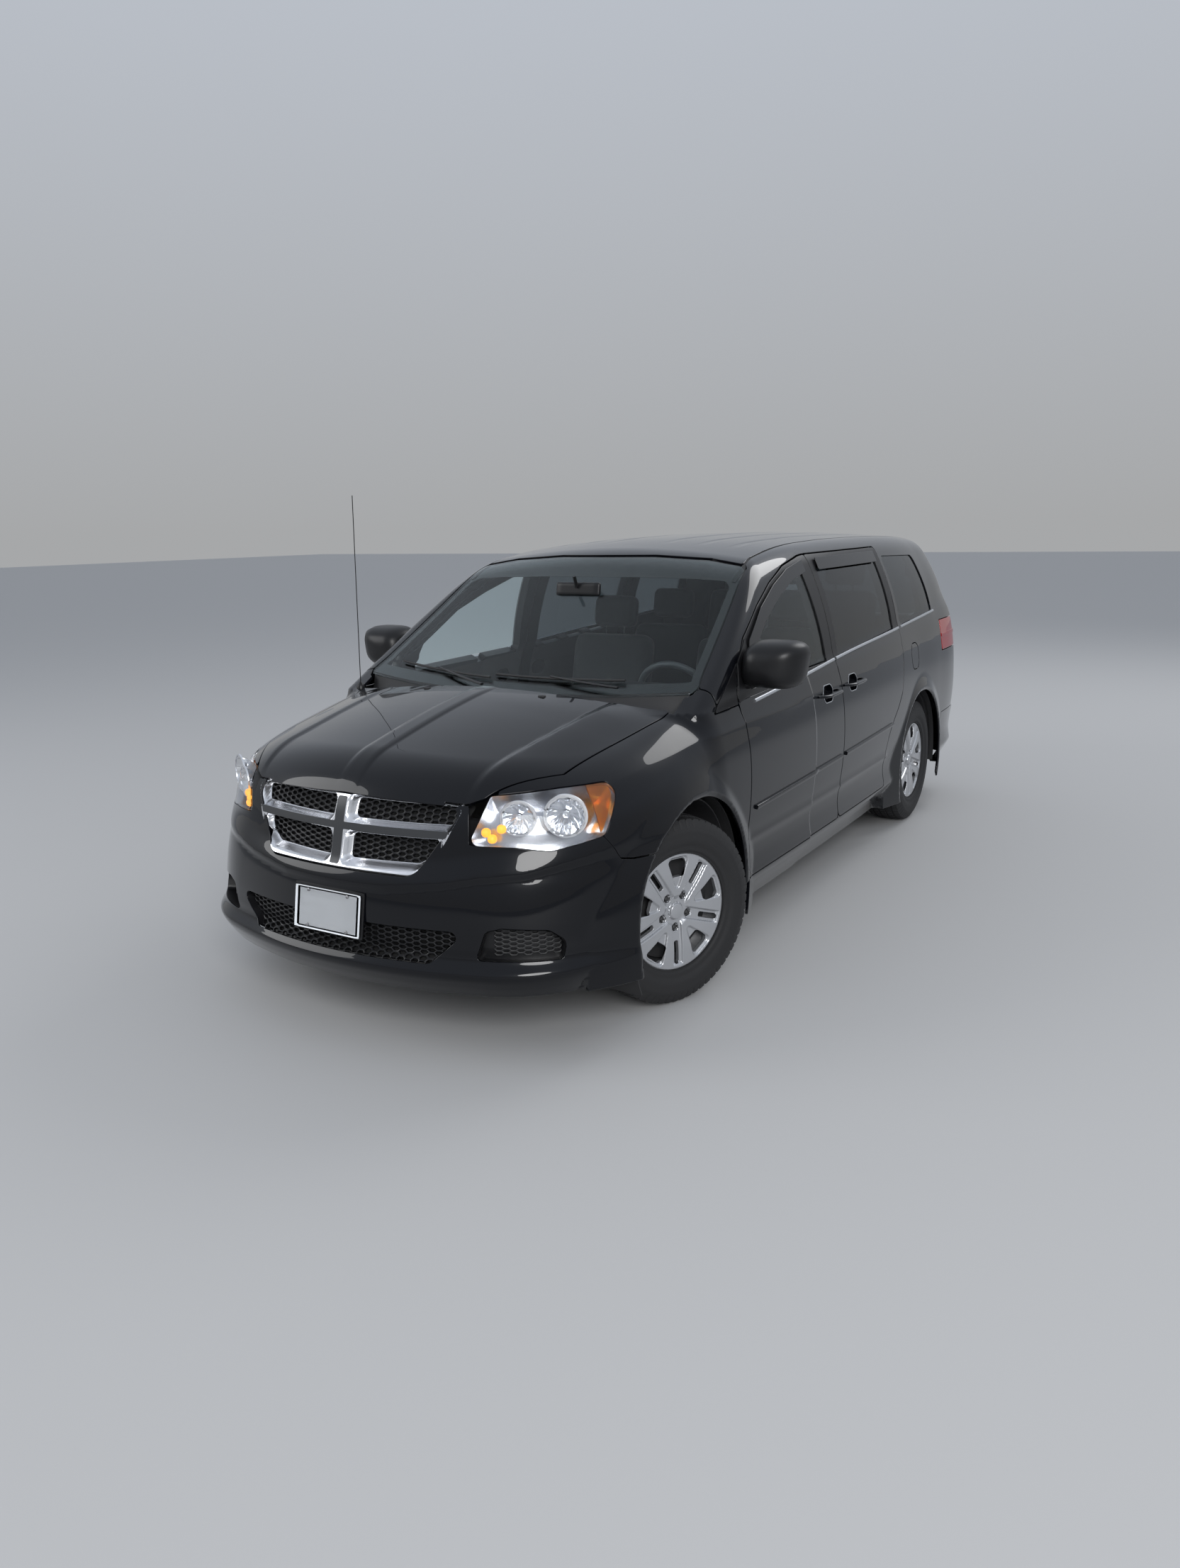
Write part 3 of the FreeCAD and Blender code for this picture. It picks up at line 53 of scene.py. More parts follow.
def placeCamera():
    yaw, pitch, roll = (math.radians(view[key]) for key in ("yaw", "pitch", "roll"))
    ahead = np.array([-math.sin(yaw) * math.cos(pitch), math.cos(yaw) * math.cos(pitch), -math.sin(pitch)])
    right = np.array([math.cos(yaw), math.sin(yaw), 0.0])
    up = np.cross(right, ahead)
    turnedRight = math.cos(roll) * right + math.sin(roll) * up
    turnedUp = -math.sin(roll) * right + math.cos(roll) * up
    lens = bpy.data.cameras.new("photoCamera")
    lens.sensor_fit = "VERTICAL"
    lens.sensor_height = view["sensorHeight"]
    lens.lens = view["focalShare"] * view["sensorHeight"]
    lens.clip_end = 200.0
    camera = bpy.data.objects.new("photoCamera", lens)
    bpy.context.scene.collection.objects.link(camera)
    grid = np.eye(4)
    grid[:3, 0], grid[:3, 1], grid[:3, 2], grid[:3, 3] = turnedRight, turnedUp, -ahead, view["place"]
    camera.matrix_world = Matrix(grid.tolist())
    bpy.context.scene.camera = camera


placeCamera()
bpy.context.scene.view_settings.view_transform = "Standard"


# Smooth lines and fields
def curveThrough(knots):
    # cubic spans through (place, value) pairs, each slope the mean of its neighbours', straight past the ends
    places, values = np.array(knots, float).T
    step = np.diff(places)
    slope = np.diff(values) / step
    inner = (slope[:-1] * step[1:] + slope[1:] * step[:-1]) / (step[:-1] + step[1:])
    tangent = np.concatenate([slope[:1], inner, slope[-1:]])

    def at(place):
        place = np.asarray(place, float)
        held = np.clip(place, places[0], places[-1])
        index = np.clip(np.searchsorted(places, held) - 1, 0, len(step) - 1)
        t = (held - places[index]) / step[index]
        rest = 1.0 - t
        value = values[index] * rest * rest * (1 + 2 * t) + values[index + 1] * t * t * (3 - 2 * t)
        value = value + step[index] * t * rest * (tangent[index] * rest - tangent[index + 1] * t)
        return value + (np.minimum(place - places[0], 0) * tangent[0]
                        + np.maximum(place - places[-1], 0) * tangent[-1])

    return at


def softMax(a, b, reach):
    # the larger field, rounded over where the two are within reach of each other
    near = np.maximum(reach - np.abs(a - b), 0.0) / reach
    return np.maximum(a, b) + near * near * reach * 0.25


def softMin(a, b, reach):
    return -softMax(-a, -b, reach)


def ease(value, low, high):
    # 0 below low, 1 above high, smooth between
    t = np.clip((value - low) / (high - low), 0.0, 1.0)
    return t * t * (3 - 2 * t)


# Lines of the body. The side profile is (height, half width); the others run along the van: (y, value)
lowerProfile = curveThrough([
    (0.17, 0.850), (0.24, 0.895), (0.30, 0.932), (0.345, 0.952), (0.375, 0.948), (0.42, 0.943), (0.50,
                                                                                                 0.949),
    (0.58, 0.960), (0.66, 0.967), (0.75, 0.970), (0.83, 0.968), (0.90, 0.963), (0.96, 0.955), (1.02, 0.943),
    (1.06, 0.934), (1.10, 0.922), (1.13, 0.908), (1.17, 0.880), (1.30, 0.76)])
beltHeight = curveThrough([(-1.75, 1.05), (-1.13, 1.078), (0.0, 1.124), (1.1, 1.182), (1.9, 1.222),
                           (2.3, 1.236)])
beltHalf = curveThrough([(-1.75, 0.898), (-0.65, 0.908), (0.09, 0.908), (1.0, 0.902), (1.9, 0.884),
                         (2.27, 0.862),
                         (2.62, 0.79)])
railHalf = curveThrough([(-1.75, 0.780), (-0.65, 0.764), (0.09, 0.758), (1.0, 0.754), (1.9, 0.738),
                         (2.27, 0.720),
                         (2.62, 0.655)])
railHeight = curveThrough([(-1.75, 1.44), (-0.65, 1.556), (0.09, 1.612), (1.0, 1.622), (1.9, 1.606),
                           (2.27, 1.585),
                           (2.62, 1.55)])
sideTaper = curveThrough([(-2.7, -0.040), (-2.2, -0.020), (-1.9, -0.014), (-1.55, -0.011), (-1.20, -0.003),
                          (-1.0, 0.0), (1.05, 0.0), (1.45, -0.009), (1.9, -0.014), (2.27, -0.026), (2.62,
                                                                                                    -0.07)])
creaseHeight = curveThrough([(-2.1, 0.905), (-1.98, 0.921), (-1.83, 0.945), (-1.6, 0.971), (-1.35, 0.989),
                             (-1.11, 0.996), (-0.24, 1.010), (1.0, 1.045), (2.0, 1.075)])
roofCentre = curveThrough([(-1.2, 1.55), (-0.62, 1.648), (-0.2, 1.698), (0.3, 1.718), (0.99, 1.7225),
                           (1.5, 1.716),
                           (1.9, 1.702), (2.27, 1.676), (2.62, 1.64)])
roofDrop = curveThrough([(-0.65, 0.040), (0.09, 0.034), (1.0, 0.030), (1.9, 0.024), (2.6, 0.02)])
hoodCentre = curveThrough([(-2.75, 0.915), (-2.44, 0.965), (-2.25, 1.012), (-2.0, 1.070), (-1.8, 1.110),
                           (-1.664, 1.132), (-1.55, 1.143), (-1.3, 1.160), (-1.0, 1.175)])
hoodEdge = curveThrough([(-2.75, 0.862), (-2.44, 0.895), (-2.1, 0.950), (-1.8, 1.008), (-1.45, 1.074),
                         (-1.13, 1.105)])
frontCentre = curveThrough([
    (0.17, -2.47), (0.24, -2.520), (0.285, -2.553), (0.315, -2.570), (0.332, -2.572), (0.347, -2.560),
    (0.365, -2.546), (0.41, -2.543), (0.489, -2.540), (0.575, -2.527), (0.62, -2.515), (0.66, -2.500),
    (0.79, -2.466), (0.885, -2.441), (1.05, -2.39)])
cornerReach = curveThrough([(0.2, 0.30), (0.34, 0.33), (0.60, 0.42), (0.90, 0.46), (1.1, 0.46)])
spineHalf = 0.042
creaseHalf = curveThrough([(-2.40, 0.492), (-2.1, 0.515), (-1.8, 0.545), (-1.5, 0.568), (-1.40, 0.572)])


def sideField(y, side, z):
    # distance outside the flank: body side below the belt, leaning glass above it, lips round the arches
    rise = (z - 0.8) / (beltHeight(y) - 0.8)
    lower = lowerProfile(np.where(z > 0.8, 0.8 + rise * 0.33, z)) + sideTaper(y)
    up = (z - beltHeight(y)) / (railHeight(y) - beltHeight(y))
    upper = beltHalf(y) + (railHalf(y) - beltHalf(y)) * up + 0.088 * up * (1 - up)
    half = softMax(lower, np.where(up > -0.6, upper, -1.0), 0.02)
    # a crisp shoulder crease from the lamp to the tail, and a low one along the doors
    shoulder = np.maximum(1 - np.abs(z - creaseHeight(y)) / 0.060, 0.0) ** 2
    half = half + 0.0065 * shoulder * (1 - 0.5 * ease(y, -1.0, 0.2)) * (1 - ease(y, 1.6, 2.1))
    low = np.maximum(1 - np.abs(z - 0.503 - 0.012 * ease(y, 0.0, 0.9)) / 0.040, 0.0) ** 2
    half = half + 0.006 * low * ease(y, -1.16, -1.12) * (1 - ease(y, 0.75, 0.85))
    for axle in (van["frontAxleY"], van["rearAxleY"]):
        radius = np.hypot(y - axle, z - van["hubZ"])
        lip = van["flareHalfWidth"] - 0.27 * np.maximum(radius - van["flareRadius"], 0.0)
        lip = lip - 0.5 * np.maximum(van["archRadius"] + 0.014 - radius, 0.0)
        lip = lip + np.minimum(sideTaper(y) + 0.014, 0.0)
        half = softMax(half, np.where(radius < 0.62, lip, -1.0), 0.004)
    return side - half


def hoodTop(side, y):
    # a crowned hood with a raised spine down the middle and a crease from each grille corner to the cowl
    share = side / 0.75
    top = hoodCentre(y) - (hoodCentre(y) - hoodEdge(y)) * share * share
    fade = ease(y, -2.46, -2.25) * (1 - ease(y, -1.62, -1.50))
    spine = 0.007 * (1 - ease(side, spineHalf - 0.012, spineHalf + 0.014)) * fade
    off = side - creaseHalf(y)
    fold = 0.010 * (ease(off, -0.035, 0.002) * (1 - ease(off, 0.002, 0.20)))
    return top + spine + fold * ease(y, -2.44, -2.30) * (1 - 0.8 * ease(y, -1.65, -1.45))


def roofTop(side, y):
    share = side / 0.604
    top = roofCentre(y) - roofDrop(y) * share * share
    fade = ease(y, -0.35, 0.0) * (1 - ease(y, 2.0, 2.2))
    for middle in (0.16, 0.34, 0.50):
        top = top - 0.004 * fade * (1 - ease(np.abs(side - middle), 0.012, 0.030))
    return top


def frontFace(side, z):
    # the ledge under the grille and lamps is a crease that runs up towards the corners
    ledge = np.interp(side, [0.0, 0.23, 0.44, 0.554, 0.693, 0.786, 0.95],
                      [0.598, 0.603, 0.631, 0.653, 0.665, 0.689, 0.73])
    push = ease(z, ledge - 0.030, ledge + 0.003) * (1 - ease(z, ledge + 0.003, ledge + 0.080))
    return frontCentre(z) + 0.30 * side * side - 0.011 * push


def screenFace(side, z):
    up = np.maximum(z, 1.07) - 1.1
    return -1.4925 + 1.659 * up - 0.20 * up * (up - 0.52) + 0.13 * side * side


def tailFace(side, z):
    # the bumper stands out below the tailgate and tucks in at the bottom
    lean = 0.296 * np.maximum(z - 1.08, 0.0)
    bumper = 0.078 * (1 - ease(z, 0.560, 0.574)) - 0.05 * (1 - ease(z, 0.22, 0.36))
    return 2.4975 + bumper - lean - 0.0735 * side * side - 0.02 * np.clip(z - 0.6, 0, 1) * side * side


def cabinField(y, side, z):
    flank = sideField(y, side, z)
    cabin = softMax(flank, (z - roofTop(side, y)) * 0.99, 0.075)
    cabin = softMax(cabin, (screenFace(side, z) - y) / 1.94, 0.05)
    return softMax(cabin, (y - tailFace(side, z)) / 1.04, 0.11), flank


def skin(point):
    # signed distance, positive outside, of the whole painted form
    side, y, z = np.abs(point[..., 0]), point[..., 1], point[..., 2]
    cabin, flank = cabinField(y, side, z)
    nose = softMax(flank, (frontFace(side, z) - y) / 1.05, cornerReach(z))
    nose = np.maximum(softMax(nose, z - hoodTop(side, y), 0.15), y + 0.4)
    return softMin(cabin, nose, 0.03)


def cabinSkin(point):
    return cabinField(point[..., 1], np.abs(point[..., 0]), point[..., 2])[0]


def normalsOf(form, point):
    reach = 0.0012
    slope = np.empty(point.shape)
    for axis in range(3):
        move = np.zeros(3)
        move[axis] = reach
        slope[..., axis] = form(point + move) - form(point - move)
    return slope / np.maximum(np.linalg.norm(slope, axis=-1, keepdims=True), 1e-12)


def meet(form, start, along, far=1.8, scan=26, tries=13):
    # where each ray, coming from outside, first reaches the form; halves the span that it crosses in
    hit = np.zeros(start.shape[:-1], bool)
    low = np.zeros(start.shape[:-1])
    high = np.full(start.shape[:-1], far)
    for k in range(1, scan + 1):
        new = (~hit) & (form(start + along * (far * k / scan)) <= 0)
        high = np.where(new, far * k / scan, high)
        low = np.where(new, far * (k - 1) / scan, low)
        hit |= new
    for _ in range(tries):
        middle = (low + high) / 2
        inside = form(start + along * middle[..., None]) <= 0
        high = np.where(inside, middle, high)
        low = np.where(inside, low, middle)
    return np.where(hit[..., None], start + along * ((low + high) / 2)[..., None], np.nan)


def cellsOf(index):
    # the four corners of every cell of a grid of point numbers
    return np.stack([index[:-1, :-1], index[1:, :-1], index[1:, 1:], index[:-1, 1:]], -1).reshape(-1, 4)


# Rays that reach the form: each takes two grids and gives starts and directions
def stack(x, y, z):
    return np.stack(np.broadcast_arrays(x, y, z), -1).astype(float)


def straight(axis, start):
    # parallel rays along one axis, from start towards the van's middle
    def rays(a, b):
        places = [a, b]
        places.insert(axis, start)
        along = [0 * a, 0.0, 0.0]
        along[axis] = -math.copysign(1.0, start) + 0 * a
        return stack(*places), stack(*along)
    return rays


def fan(middle, reach, outward):
    # rays in towards a middle line; middle and outward give a point on it and the direction out of it
    def rays(a, b):
        out = stack(*outward(a, b))
        return stack(*middle(a, b)) + reach * out, -out
    return rays


fromSide, fromAbove = straight(0, 1.25), straight(2, 2.0)
fromFront, fromScreen, fromBehind = straight(1, -3.0), straight(1, -1.9), straight(1, 3.0)
roundNose = fan(lambda angle, z: (0.0, -1.50, z), 1.7, lambda angle,
                z: (np.sin(angle), -np.cos(angle), 0 * z))
roundTail = fan(lambda angle, z: (0.0, 1.75, z), 1.7, lambda angle, z: (np.sin(angle), np.cos(angle), 0 * z))
aroundFlank = fan(lambda y, angle: (0.30, y, 0.95), 1.15, lambda y,
                  angle: (np.cos(angle), 0 * y, np.sin(angle)))
overShoulder = fan(lambda y, angle: (0.40, y, 0.60), 1.4, lambda y,
                   angle: (np.cos(angle), 0 * y, np.sin(angle)))
overNose = fan(lambda x, angle: (x, -1.45, 0.45), 1.5, lambda x,
               angle: (0 * x, -np.sin(angle), np.cos(angle)))


def loopOf(corners, arcSteps=6):
    # a closed outline of (a, b) or (a, b, radius) corners, each radius rounded off by an arc
    points = []
    count = len(corners)
    for index, corner in enumerate(corners):
        here = np.array(corner[:2], float)
        radius = corner[2] if len(corner) > 2 else 0.0
        if radius <= 0:
            points.append(here)
            continue
        back = np.array(corners[index - 1][:2], float) - here
        ahead = np.array(corners[(index + 1) % count][:2], float) - here
        lengthBack, lengthAhead = np.linalg.norm(back), np.linalg.norm(ahead)
        back, ahead = back / lengthBack, ahead / lengthAhead
        half = math.acos(float(np.clip(back @ ahead, -1, 1))) / 2
        run = min(radius / math.tan(half), 0.48 * min(lengthBack, lengthAhead))
        radius = run * math.tan(half)
        middle = here + (back + ahead) / np.linalg.norm(back + ahead) * radius / math.sin(half)
        first, last = here + back * run - middle, here + ahead * run - middle
        turn = math.atan2(first[0] * last[1] - first[1] * last[0], float(first @ last))
        for step in range(arcSteps + 1):
            a = turn * step / arcSteps
            points.append(middle + np.array([first[0] * math.cos(a) - first[1] * math.sin(a),
                                             first[0] * math.sin(a) + first[1] * math.cos(a)]))
    return np.array(points)


def within(loop, a, b):
    # distance inside a closed outline, negative outside it
    shape = np.shape(a)
    spot = np.stack([np.ravel(a), np.ravel(b)], -1)
    best = np.full(len(spot), 1e9)
    odd = np.zeros(len(spot), bool)
    for start, end in zip(loop, np.roll(loop, -1, 0)):
        edge = end - start
        away = spot - start
        share = np.clip(away @ edge / max(float(edge @ edge), 1e-12), 0, 1)
        best = np.minimum(best, ((away - share[:, None] * edge) ** 2).sum(1))
        crosses = (start[1] > spot[:, 1]) != (end[1] > spot[:, 1])
        rise = edge[1] if abs(edge[1]) > 1e-12 else 1e-12
        odd ^= crosses & (spot[:, 0] < start[0] + edge[0] * (spot[:, 1] - start[1]) / rise)
    return np.where(odd, np.sqrt(best), -np.sqrt(best)).reshape(shape)


def addMesh(name, points, faceSets, looks, body, cornerNormals=None):
    # faceSets is a list of (faces, look number); cornerNormals holds one normal for each face corner
    mesh = bpy.data.meshes.new(name)
    sets = [(np.asarray(faces, np.int32), look) for faces, look in faceSets if len(faces)]
    corners = np.concatenate([faces.ravel() for faces, _ in sets])
    sizes = np.concatenate([np.full(len(faces), faces.shape[1]) for faces, _ in sets])
    mesh.vertices.add(len(points))
    mesh.vertices.foreach_set("co", np.asarray(points, np.float32).ravel())
    mesh.loops.add(len(corners))
    mesh.loops.foreach_set("vertex_index", corners)
    mesh.polygons.add(len(sizes))
    mesh.polygons.foreach_set("loop_start", np.concatenate([[0], np.cumsum(sizes)[:-1]]).astype(np.int32))
    mesh.polygons.foreach_set("material_index", np.concatenate(
        [np.full(len(faces), look, np.int32) for faces, look in sets]))
    mesh.polygons.foreach_set("use_smooth", np.ones(len(sizes), bool))
    mesh.update(calc_edges=True)
    for look in looks:
        mesh.materials.append(look)
    if cornerNormals is None:
        mesh.set_sharp_from_angle(angle=math.radians(35))
    else:
        mesh.normals_split_custom_set(np.asarray(cornerNormals, np.float32))
    piece = bpy.data.objects.new(name, mesh)
    bpy.context.scene.collection.objects.link(piece)
    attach(piece, body)
    return piece


def cutSheet(form, rays, uLine, vLine, keep, edge):
    # a grid of rays on the form, trimmed to where keep is over edge. Gives points, their faces, the rim's
    # points and the rim's edges in face order
    u, v = np.meshgrid(uLine, vLine, indexing="ij")
    start, along = rays(u, v)
    spot = meet(form, start, along).reshape(-1, 3)
    seen = np.isfinite(spot[:, 0])
    spot = np.where(seen[:, None], spot, 0.0)
    value = np.where(seen, keep(spot) - edge, -1.0)
    cells = cellsOf(np.arange(u.size).reshape(u.shape))
    inside = value > 0
    count = inside[cells].sum(1)
    whole = cells[count == 4]
    mixed = cells[(count > 0) & (count < 4)]
    parts = np.concatenate([mixed[:, [0, 1, 2]], mixed[:, [0, 2, 3]]])
    flags = inside[parts]
    full = parts[flags.sum(1) == 3]

    def turned(rows, first):
        return np.stack([rows[np.arange(len(rows)), (first + k) % 3] for k in range(3)], 1)

    one = turned(parts[flags.sum(1) == 1], np.argmax(flags[flags.sum(1) == 1], 1))
    two = turned(parts[flags.sum(1) == 2], np.argmin(flags[flags.sum(1) == 2], 1))
    pairs = np.concatenate([one[:, [0, 1]], one[:, [0, 2]], two[:, [1, 0]], two[:, [2, 0]]])
    keys = np.minimum(pairs[:, 0], pairs[:, 1]).astype(np.int64) * u.size + np.maximum(pairs[:, 0],
                                                                                       pairs[:, 1])
    _, firsts, place = np.unique(keys, return_index=True, return_inverse=True)
    place = place.ravel()
    inEnd, outEnd = pairs[firsts, 0], pairs[firsts, 1]
    places = np.stack([u.ravel(), v.ravel()], -1)
    low, high = np.zeros(len(firsts)), np.ones(len(firsts))
    lowValue, highValue = value[inEnd], value[outEnd]
    for _ in range(4):
        share = np.clip(low + (high - low) * lowValue / np.maximum(lowValue - highValue, 1e-9), low, high)
        at = places[inEnd] + (places[outEnd] - places[inEnd]) * share[:, None]
        rimStart, rimAlong = rays(at[:, 0], at[:, 1])
        rim = meet(form, rimStart, rimAlong)
        lost = ~np.isfinite(rim[:, 0])
        rim = np.where(lost[:, None], spot[inEnd], rim)
        now = np.where(lost, -1e-6, keep(rim) - edge)
        stillIn = now > 0
        low, lowValue = np.where(stillIn, share, low), np.where(stillIn, now, lowValue)
        high, highValue = np.where(stillIn, high, share), np.where(stillIn, highValue, now)
    used = np.unique(np.concatenate([whole.ravel(), full.ravel(), one[:, 0], two[:, 1], two[:, 2]]))
    renumber = np.full(u.size, -1)
    renumber[used] = np.arange(len(used))
    base = len(used)
    spanOne, spanTwo = len(one), len(two)
    oneB, oneC = place[:spanOne] + base, place[spanOne:2 * spanOne] + base
    twoB = place[2 * spanOne:2 * spanOne + spanTwo] + base
    twoC = place[2 * spanOne + spanTwo:] + base
    triangles = np.concatenate([renumber[full], np.stack([renumber[one[:, 0]], oneB, oneC], 1)])
    quads = np.concatenate([renumber[whole],
                            np.stack([twoB, renumber[two[:, 1]], renumber[two[:, 2]], twoC], 1)])
    rimEdges = np.concatenate([np.stack([oneB, oneC], 1), np.stack([twoC, twoB], 1)])
    points = np.concatenate([spot[used], rim])
    facing = normalsOf(form, points)
    sample = quads[:: max(1, len(quads) // 50)]
    across = np.cross(points[sample[:, 1]] - points[sample[:, 0]],
                      points[sample[:, 3]] - points[sample[:, 0]])
    if (across * facing[sample[:, 0]]).sum() < 0:
        quads, triangles, rimEdges = quads[:, ::-1], triangles[:, ::-1], rimEdges[:, ::-1]
    return points, facing, quads, triangles, base, rimEdges


upright = np.eye(3)
mirrored = np.diag([-1.0, 1.0, 1.0])
noShift = np.zeros(3)


def addCopies(name, points, faceSets, looks, places, tables=None):
    # the same mesh once for each (ending of its name, body, turn, shift); a mirroring turn flips the faces
    made = []
    for ending, body, turn, shift in places:
        flipped = np.linalg.det(turn) < 0
        sets = [(np.asarray(faces)[:, ::-1] if flipped else np.asarray(faces), number) for faces,
                number in faceSets]
        corner = None
        if tables is not None:
            corner = np.concatenate([(table @ turn.T)[faces.ravel()] for (faces, _),
                                     table in zip(sets, tables)])
        made.append(addMesh(name + ending, points @ turn.T + shift, sets, looks, body, corner))
    return made


def places(body, both=False, otherBody=None):
    if not both:
        return [("", body, upright, noShift)]
    return [("Left", body, upright, noShift), ("Right", otherBody or body, mirrored, noShift)]


onBody, flanks, onTailgate = places("root"), places("root", True), places("tailgate")
doors = places("front_door_left", True, "front_door_right")


def at(body, place, turn=upright, ending=""):
    return (ending, body, turn, np.asarray(place, float))


def bothAt(body, place, turn=upright, otherBody=None):
    place = np.asarray(place, float)
    return [("Left", body, turn, place),
            ("Right", otherBody or body, mirrored @ turn, place * np.array([-1.0, 1.0, 1.0]))]


def panel(name, where, form, rays, uLine, vLine, keep, look, slot, wall=0.014, roll=0.0025, lining=None,
          bucket=False):
    # a sheet of the form with a rolled edge, a wall and a lining, closed all round, once for each place.
    # bucket keeps only the wall and the lining, seen from outside
    points, facing, quads, triangles, base, rimEdges = cutSheet(form, rays, uLine, vLine, keep, roll)
    rim, rimFacing = points[base:], facing[base:]
    outward = -normalsOf(keep, rim)
    outward = outward - (outward * rimFacing).sum(1, keepdims=True) * rimFacing
    outward = outward / np.maximum(np.linalg.norm(outward, axis=1, keepdims=True), 1e-9)
    slant = (outward + rimFacing) / math.sqrt(2)
    first = rim + roll * (outward * 0.707 - rimFacing * 0.293)
    second = rim + roll * (outward - rimFacing)
    lined = points - facing * wall
    lined[base:] = rim + outward * roll - rimFacing * wall
    count, rimCount = len(points), len(rim)
    every = np.concatenate([points, first, second, lined])
    a, b = rimEdges[:, 0] - base, rimEdges[:, 1] - base
    one, two, back = count, count + rimCount, count + 2 * rimCount
    rollOne = np.stack([b + base, a + base, a + one, b + one], 1)
    rollTwo = np.stack([b + one, a + one, a + two, b + two], 1)
    wallFaces = np.stack([b + two, a + two, a + base + back, b + base + back], 1)
    inner = 1 if lining is not None else 0
    flat = np.concatenate([facing, slant, outward, -facing])
    edgeNormals = flat.copy()
    edgeNormals[back + base:] = outward
    if bucket:
        faces = [(wallFaces[:, ::-1], 0), (quads + back, inner), (triangles + back, inner)]
        edgeNormals = -edgeNormals
        tables = [edgeNormals, -flat, -flat]
    else:
        faces = [(quads, 0), (triangles, 0), (rollOne, 0), (rollTwo, 0), (wallFaces, 0),
                 (quads[:, ::-1] + back, inner), (triangles[:, ::-1] + back, inner)]
        tables = [flat, flat, flat, edgeNormals, edgeNormals, flat, flat]
    kept = [(f, number, table) for (f, number), table in zip(faces, tables) if len(f)]
    looks = [look] if lining is None else [look, lining]
    return addCopies(name, every, [(f, number) for f, number, _ in kept], looks, where,
                     [table for _, _, table in kept])


def line(low, high, step):
    return np.linspace(low, high, max(2, int(round((high - low) / step)) + 1))


def over(loop, step):
    # the two lines of a grid that covers an outline
    return [line(loop[:, k].min() - 0.01, loop[:, k].max() + 0.01, step) for k in (0, 1)]


# Finishes
inputNames = {"coat": "Coat Weight", "coatRoughness": "Coat Roughness", "coatIndex": "Coat IOR",
              "index": "IOR",
              "clear": "Transmission Weight", "glow": "Emission Strength", "specular": "Specular IOR Level",
              "sheen": "Sheen Weight"}


def material(name, colour, roughness, metallic=0.0, **more):
    made = bpy.data.materials.new(name)
    made.use_nodes = True
    shader = made.node_tree.nodes["Principled BSDF"]
    shader.inputs["Base Color"].default_value = (*colour, 1.0)
    shader.inputs["Roughness"].default_value = roughness
    shader.inputs["Metallic"].default_value = metallic
    for key, value in more.items():
        shader.inputs[inputNames[key]].default_value = value
    if "glow" in more:
        shader.inputs["Emission Color"].default_value = (*colour, 1.0)
    return made


def rippleGroup():
    # a shader group: small bumps from noise on object coordinates, with size and height as inputs
    group = bpy.data.node_groups.new("fineRipple", "ShaderNodeTree")
    group.interface.new_socket("Scale", in_out="INPUT", socket_type="NodeSocketFloat")
    group.interface.new_socket("Height", in_out="INPUT", socket_type="NodeSocketFloat")
    group.interface.new_socket("Normal", in_out="OUTPUT", socket_type="NodeSocketVector")
    group.interface.new_socket("Shade", in_out="OUTPUT", socket_type="NodeSocketFloat")
    nodes, links = group.nodes, group.links
    start, end = nodes.new("NodeGroupInput"), nodes.new("NodeGroupOutput")
    place = nodes.new("ShaderNodeTexCoord")
    noise = nodes.new("ShaderNodeTexNoise")
    noise.inputs["Detail"].default_value = 3.0
    bump = nodes.new("ShaderNodeBump")
    links.new(place.outputs["Object"], noise.inputs["Vector"])
    links.new(start.outputs["Scale"], noise.inputs["Scale"])
    links.new(start.outputs["Height"], bump.inputs["Distance"])
    links.new(noise.outputs["Fac"], bump.inputs["Height"])
    links.new(bump.outputs["Normal"], end.inputs["Normal"])
    links.new(noise.outputs["Fac"], end.inputs["Shade"])
    return group


ripple = rippleGroup()


def roughen(made, scale, height, spread=0.0):
    # adds the ripple to a finish; spread also varies its roughness
    nodes, links = made.node_tree.nodes, made.node_tree.links
    shader = nodes["Principled BSDF"]
    group = nodes.new("ShaderNodeGroup")
    group.node_tree = ripple
    group.inputs["Scale"].default_value = scale
    group.inputs["Height"].default_value = height
    links.new(group.outputs["Normal"], shader.inputs["Normal"])
    if spread > 0:
        base = shader.inputs["Roughness"].default_value
        reach = nodes.new("ShaderNodeMapRange")
        reach.inputs["To Min"].default_value = max(base - spread, 0.02)
        reach.inputs["To Max"].default_value = base + spread
        links.new(group.outputs["Shade"], reach.inputs["Value"])
        links.new(reach.outputs["Result"], shader.inputs["Roughness"])
    return made


paint = material("glossBlackPaint", (0.0022, 0.0026, 0.0042), 0.25, specular=0.06, coat=1.0,
                 coatRoughness=0.012,
                 coatIndex=1.37)
roughen(paint, 5.0, 0.0006)
satinBlack = roughen(material("satinBlack", (0.008, 0.008, 0.009), 0.36, specular=0.35), 900.0, 0.00006,
                     0.06)
mattBlack = roughen(material("mattBlackPlastic", (0.017, 0.017, 0.018), 0.62), 700.0, 0.00012, 0.08)
# painted shade: a near-black finish for sheets and linings that stand in for the shadow deep behind the
# grilles and inside the tail lamps
paintedShadeBlack = material("paintedShadeInside", (0.003, 0.003, 0.003), 0.8)
chrome = material("brightChrome", (0.88, 0.89, 0.92), 0.25, 1.0)
# painted shade: a dark grey metal for the shadowed middle of the grille's chrome cross
paintedShadeCross = material("paintedShadeCrossStrip", (0.045, 0.047, 0.05), 0.30, 0.3)
rubber = roughen(material("tyreRubber", (0.013, 0.013, 0.014), 0.72), 260.0, 0.00015, 0.08)
coverSilver = roughen(material("coverSilver", (0.50, 0.51, 0.53), 0.30, 0.75, coat=0.4), 400.0, 0.00002)
steel = roughen(material("zincSteel", (0.35, 0.35, 0.36), 0.42, 1.0), 120.0, 0.00008, 0.10)
darkSteel = roughen(material("darkSteel", (0.06, 0.06, 0.062), 0.55, 0.6), 60.0, 0.0004, 0.12)
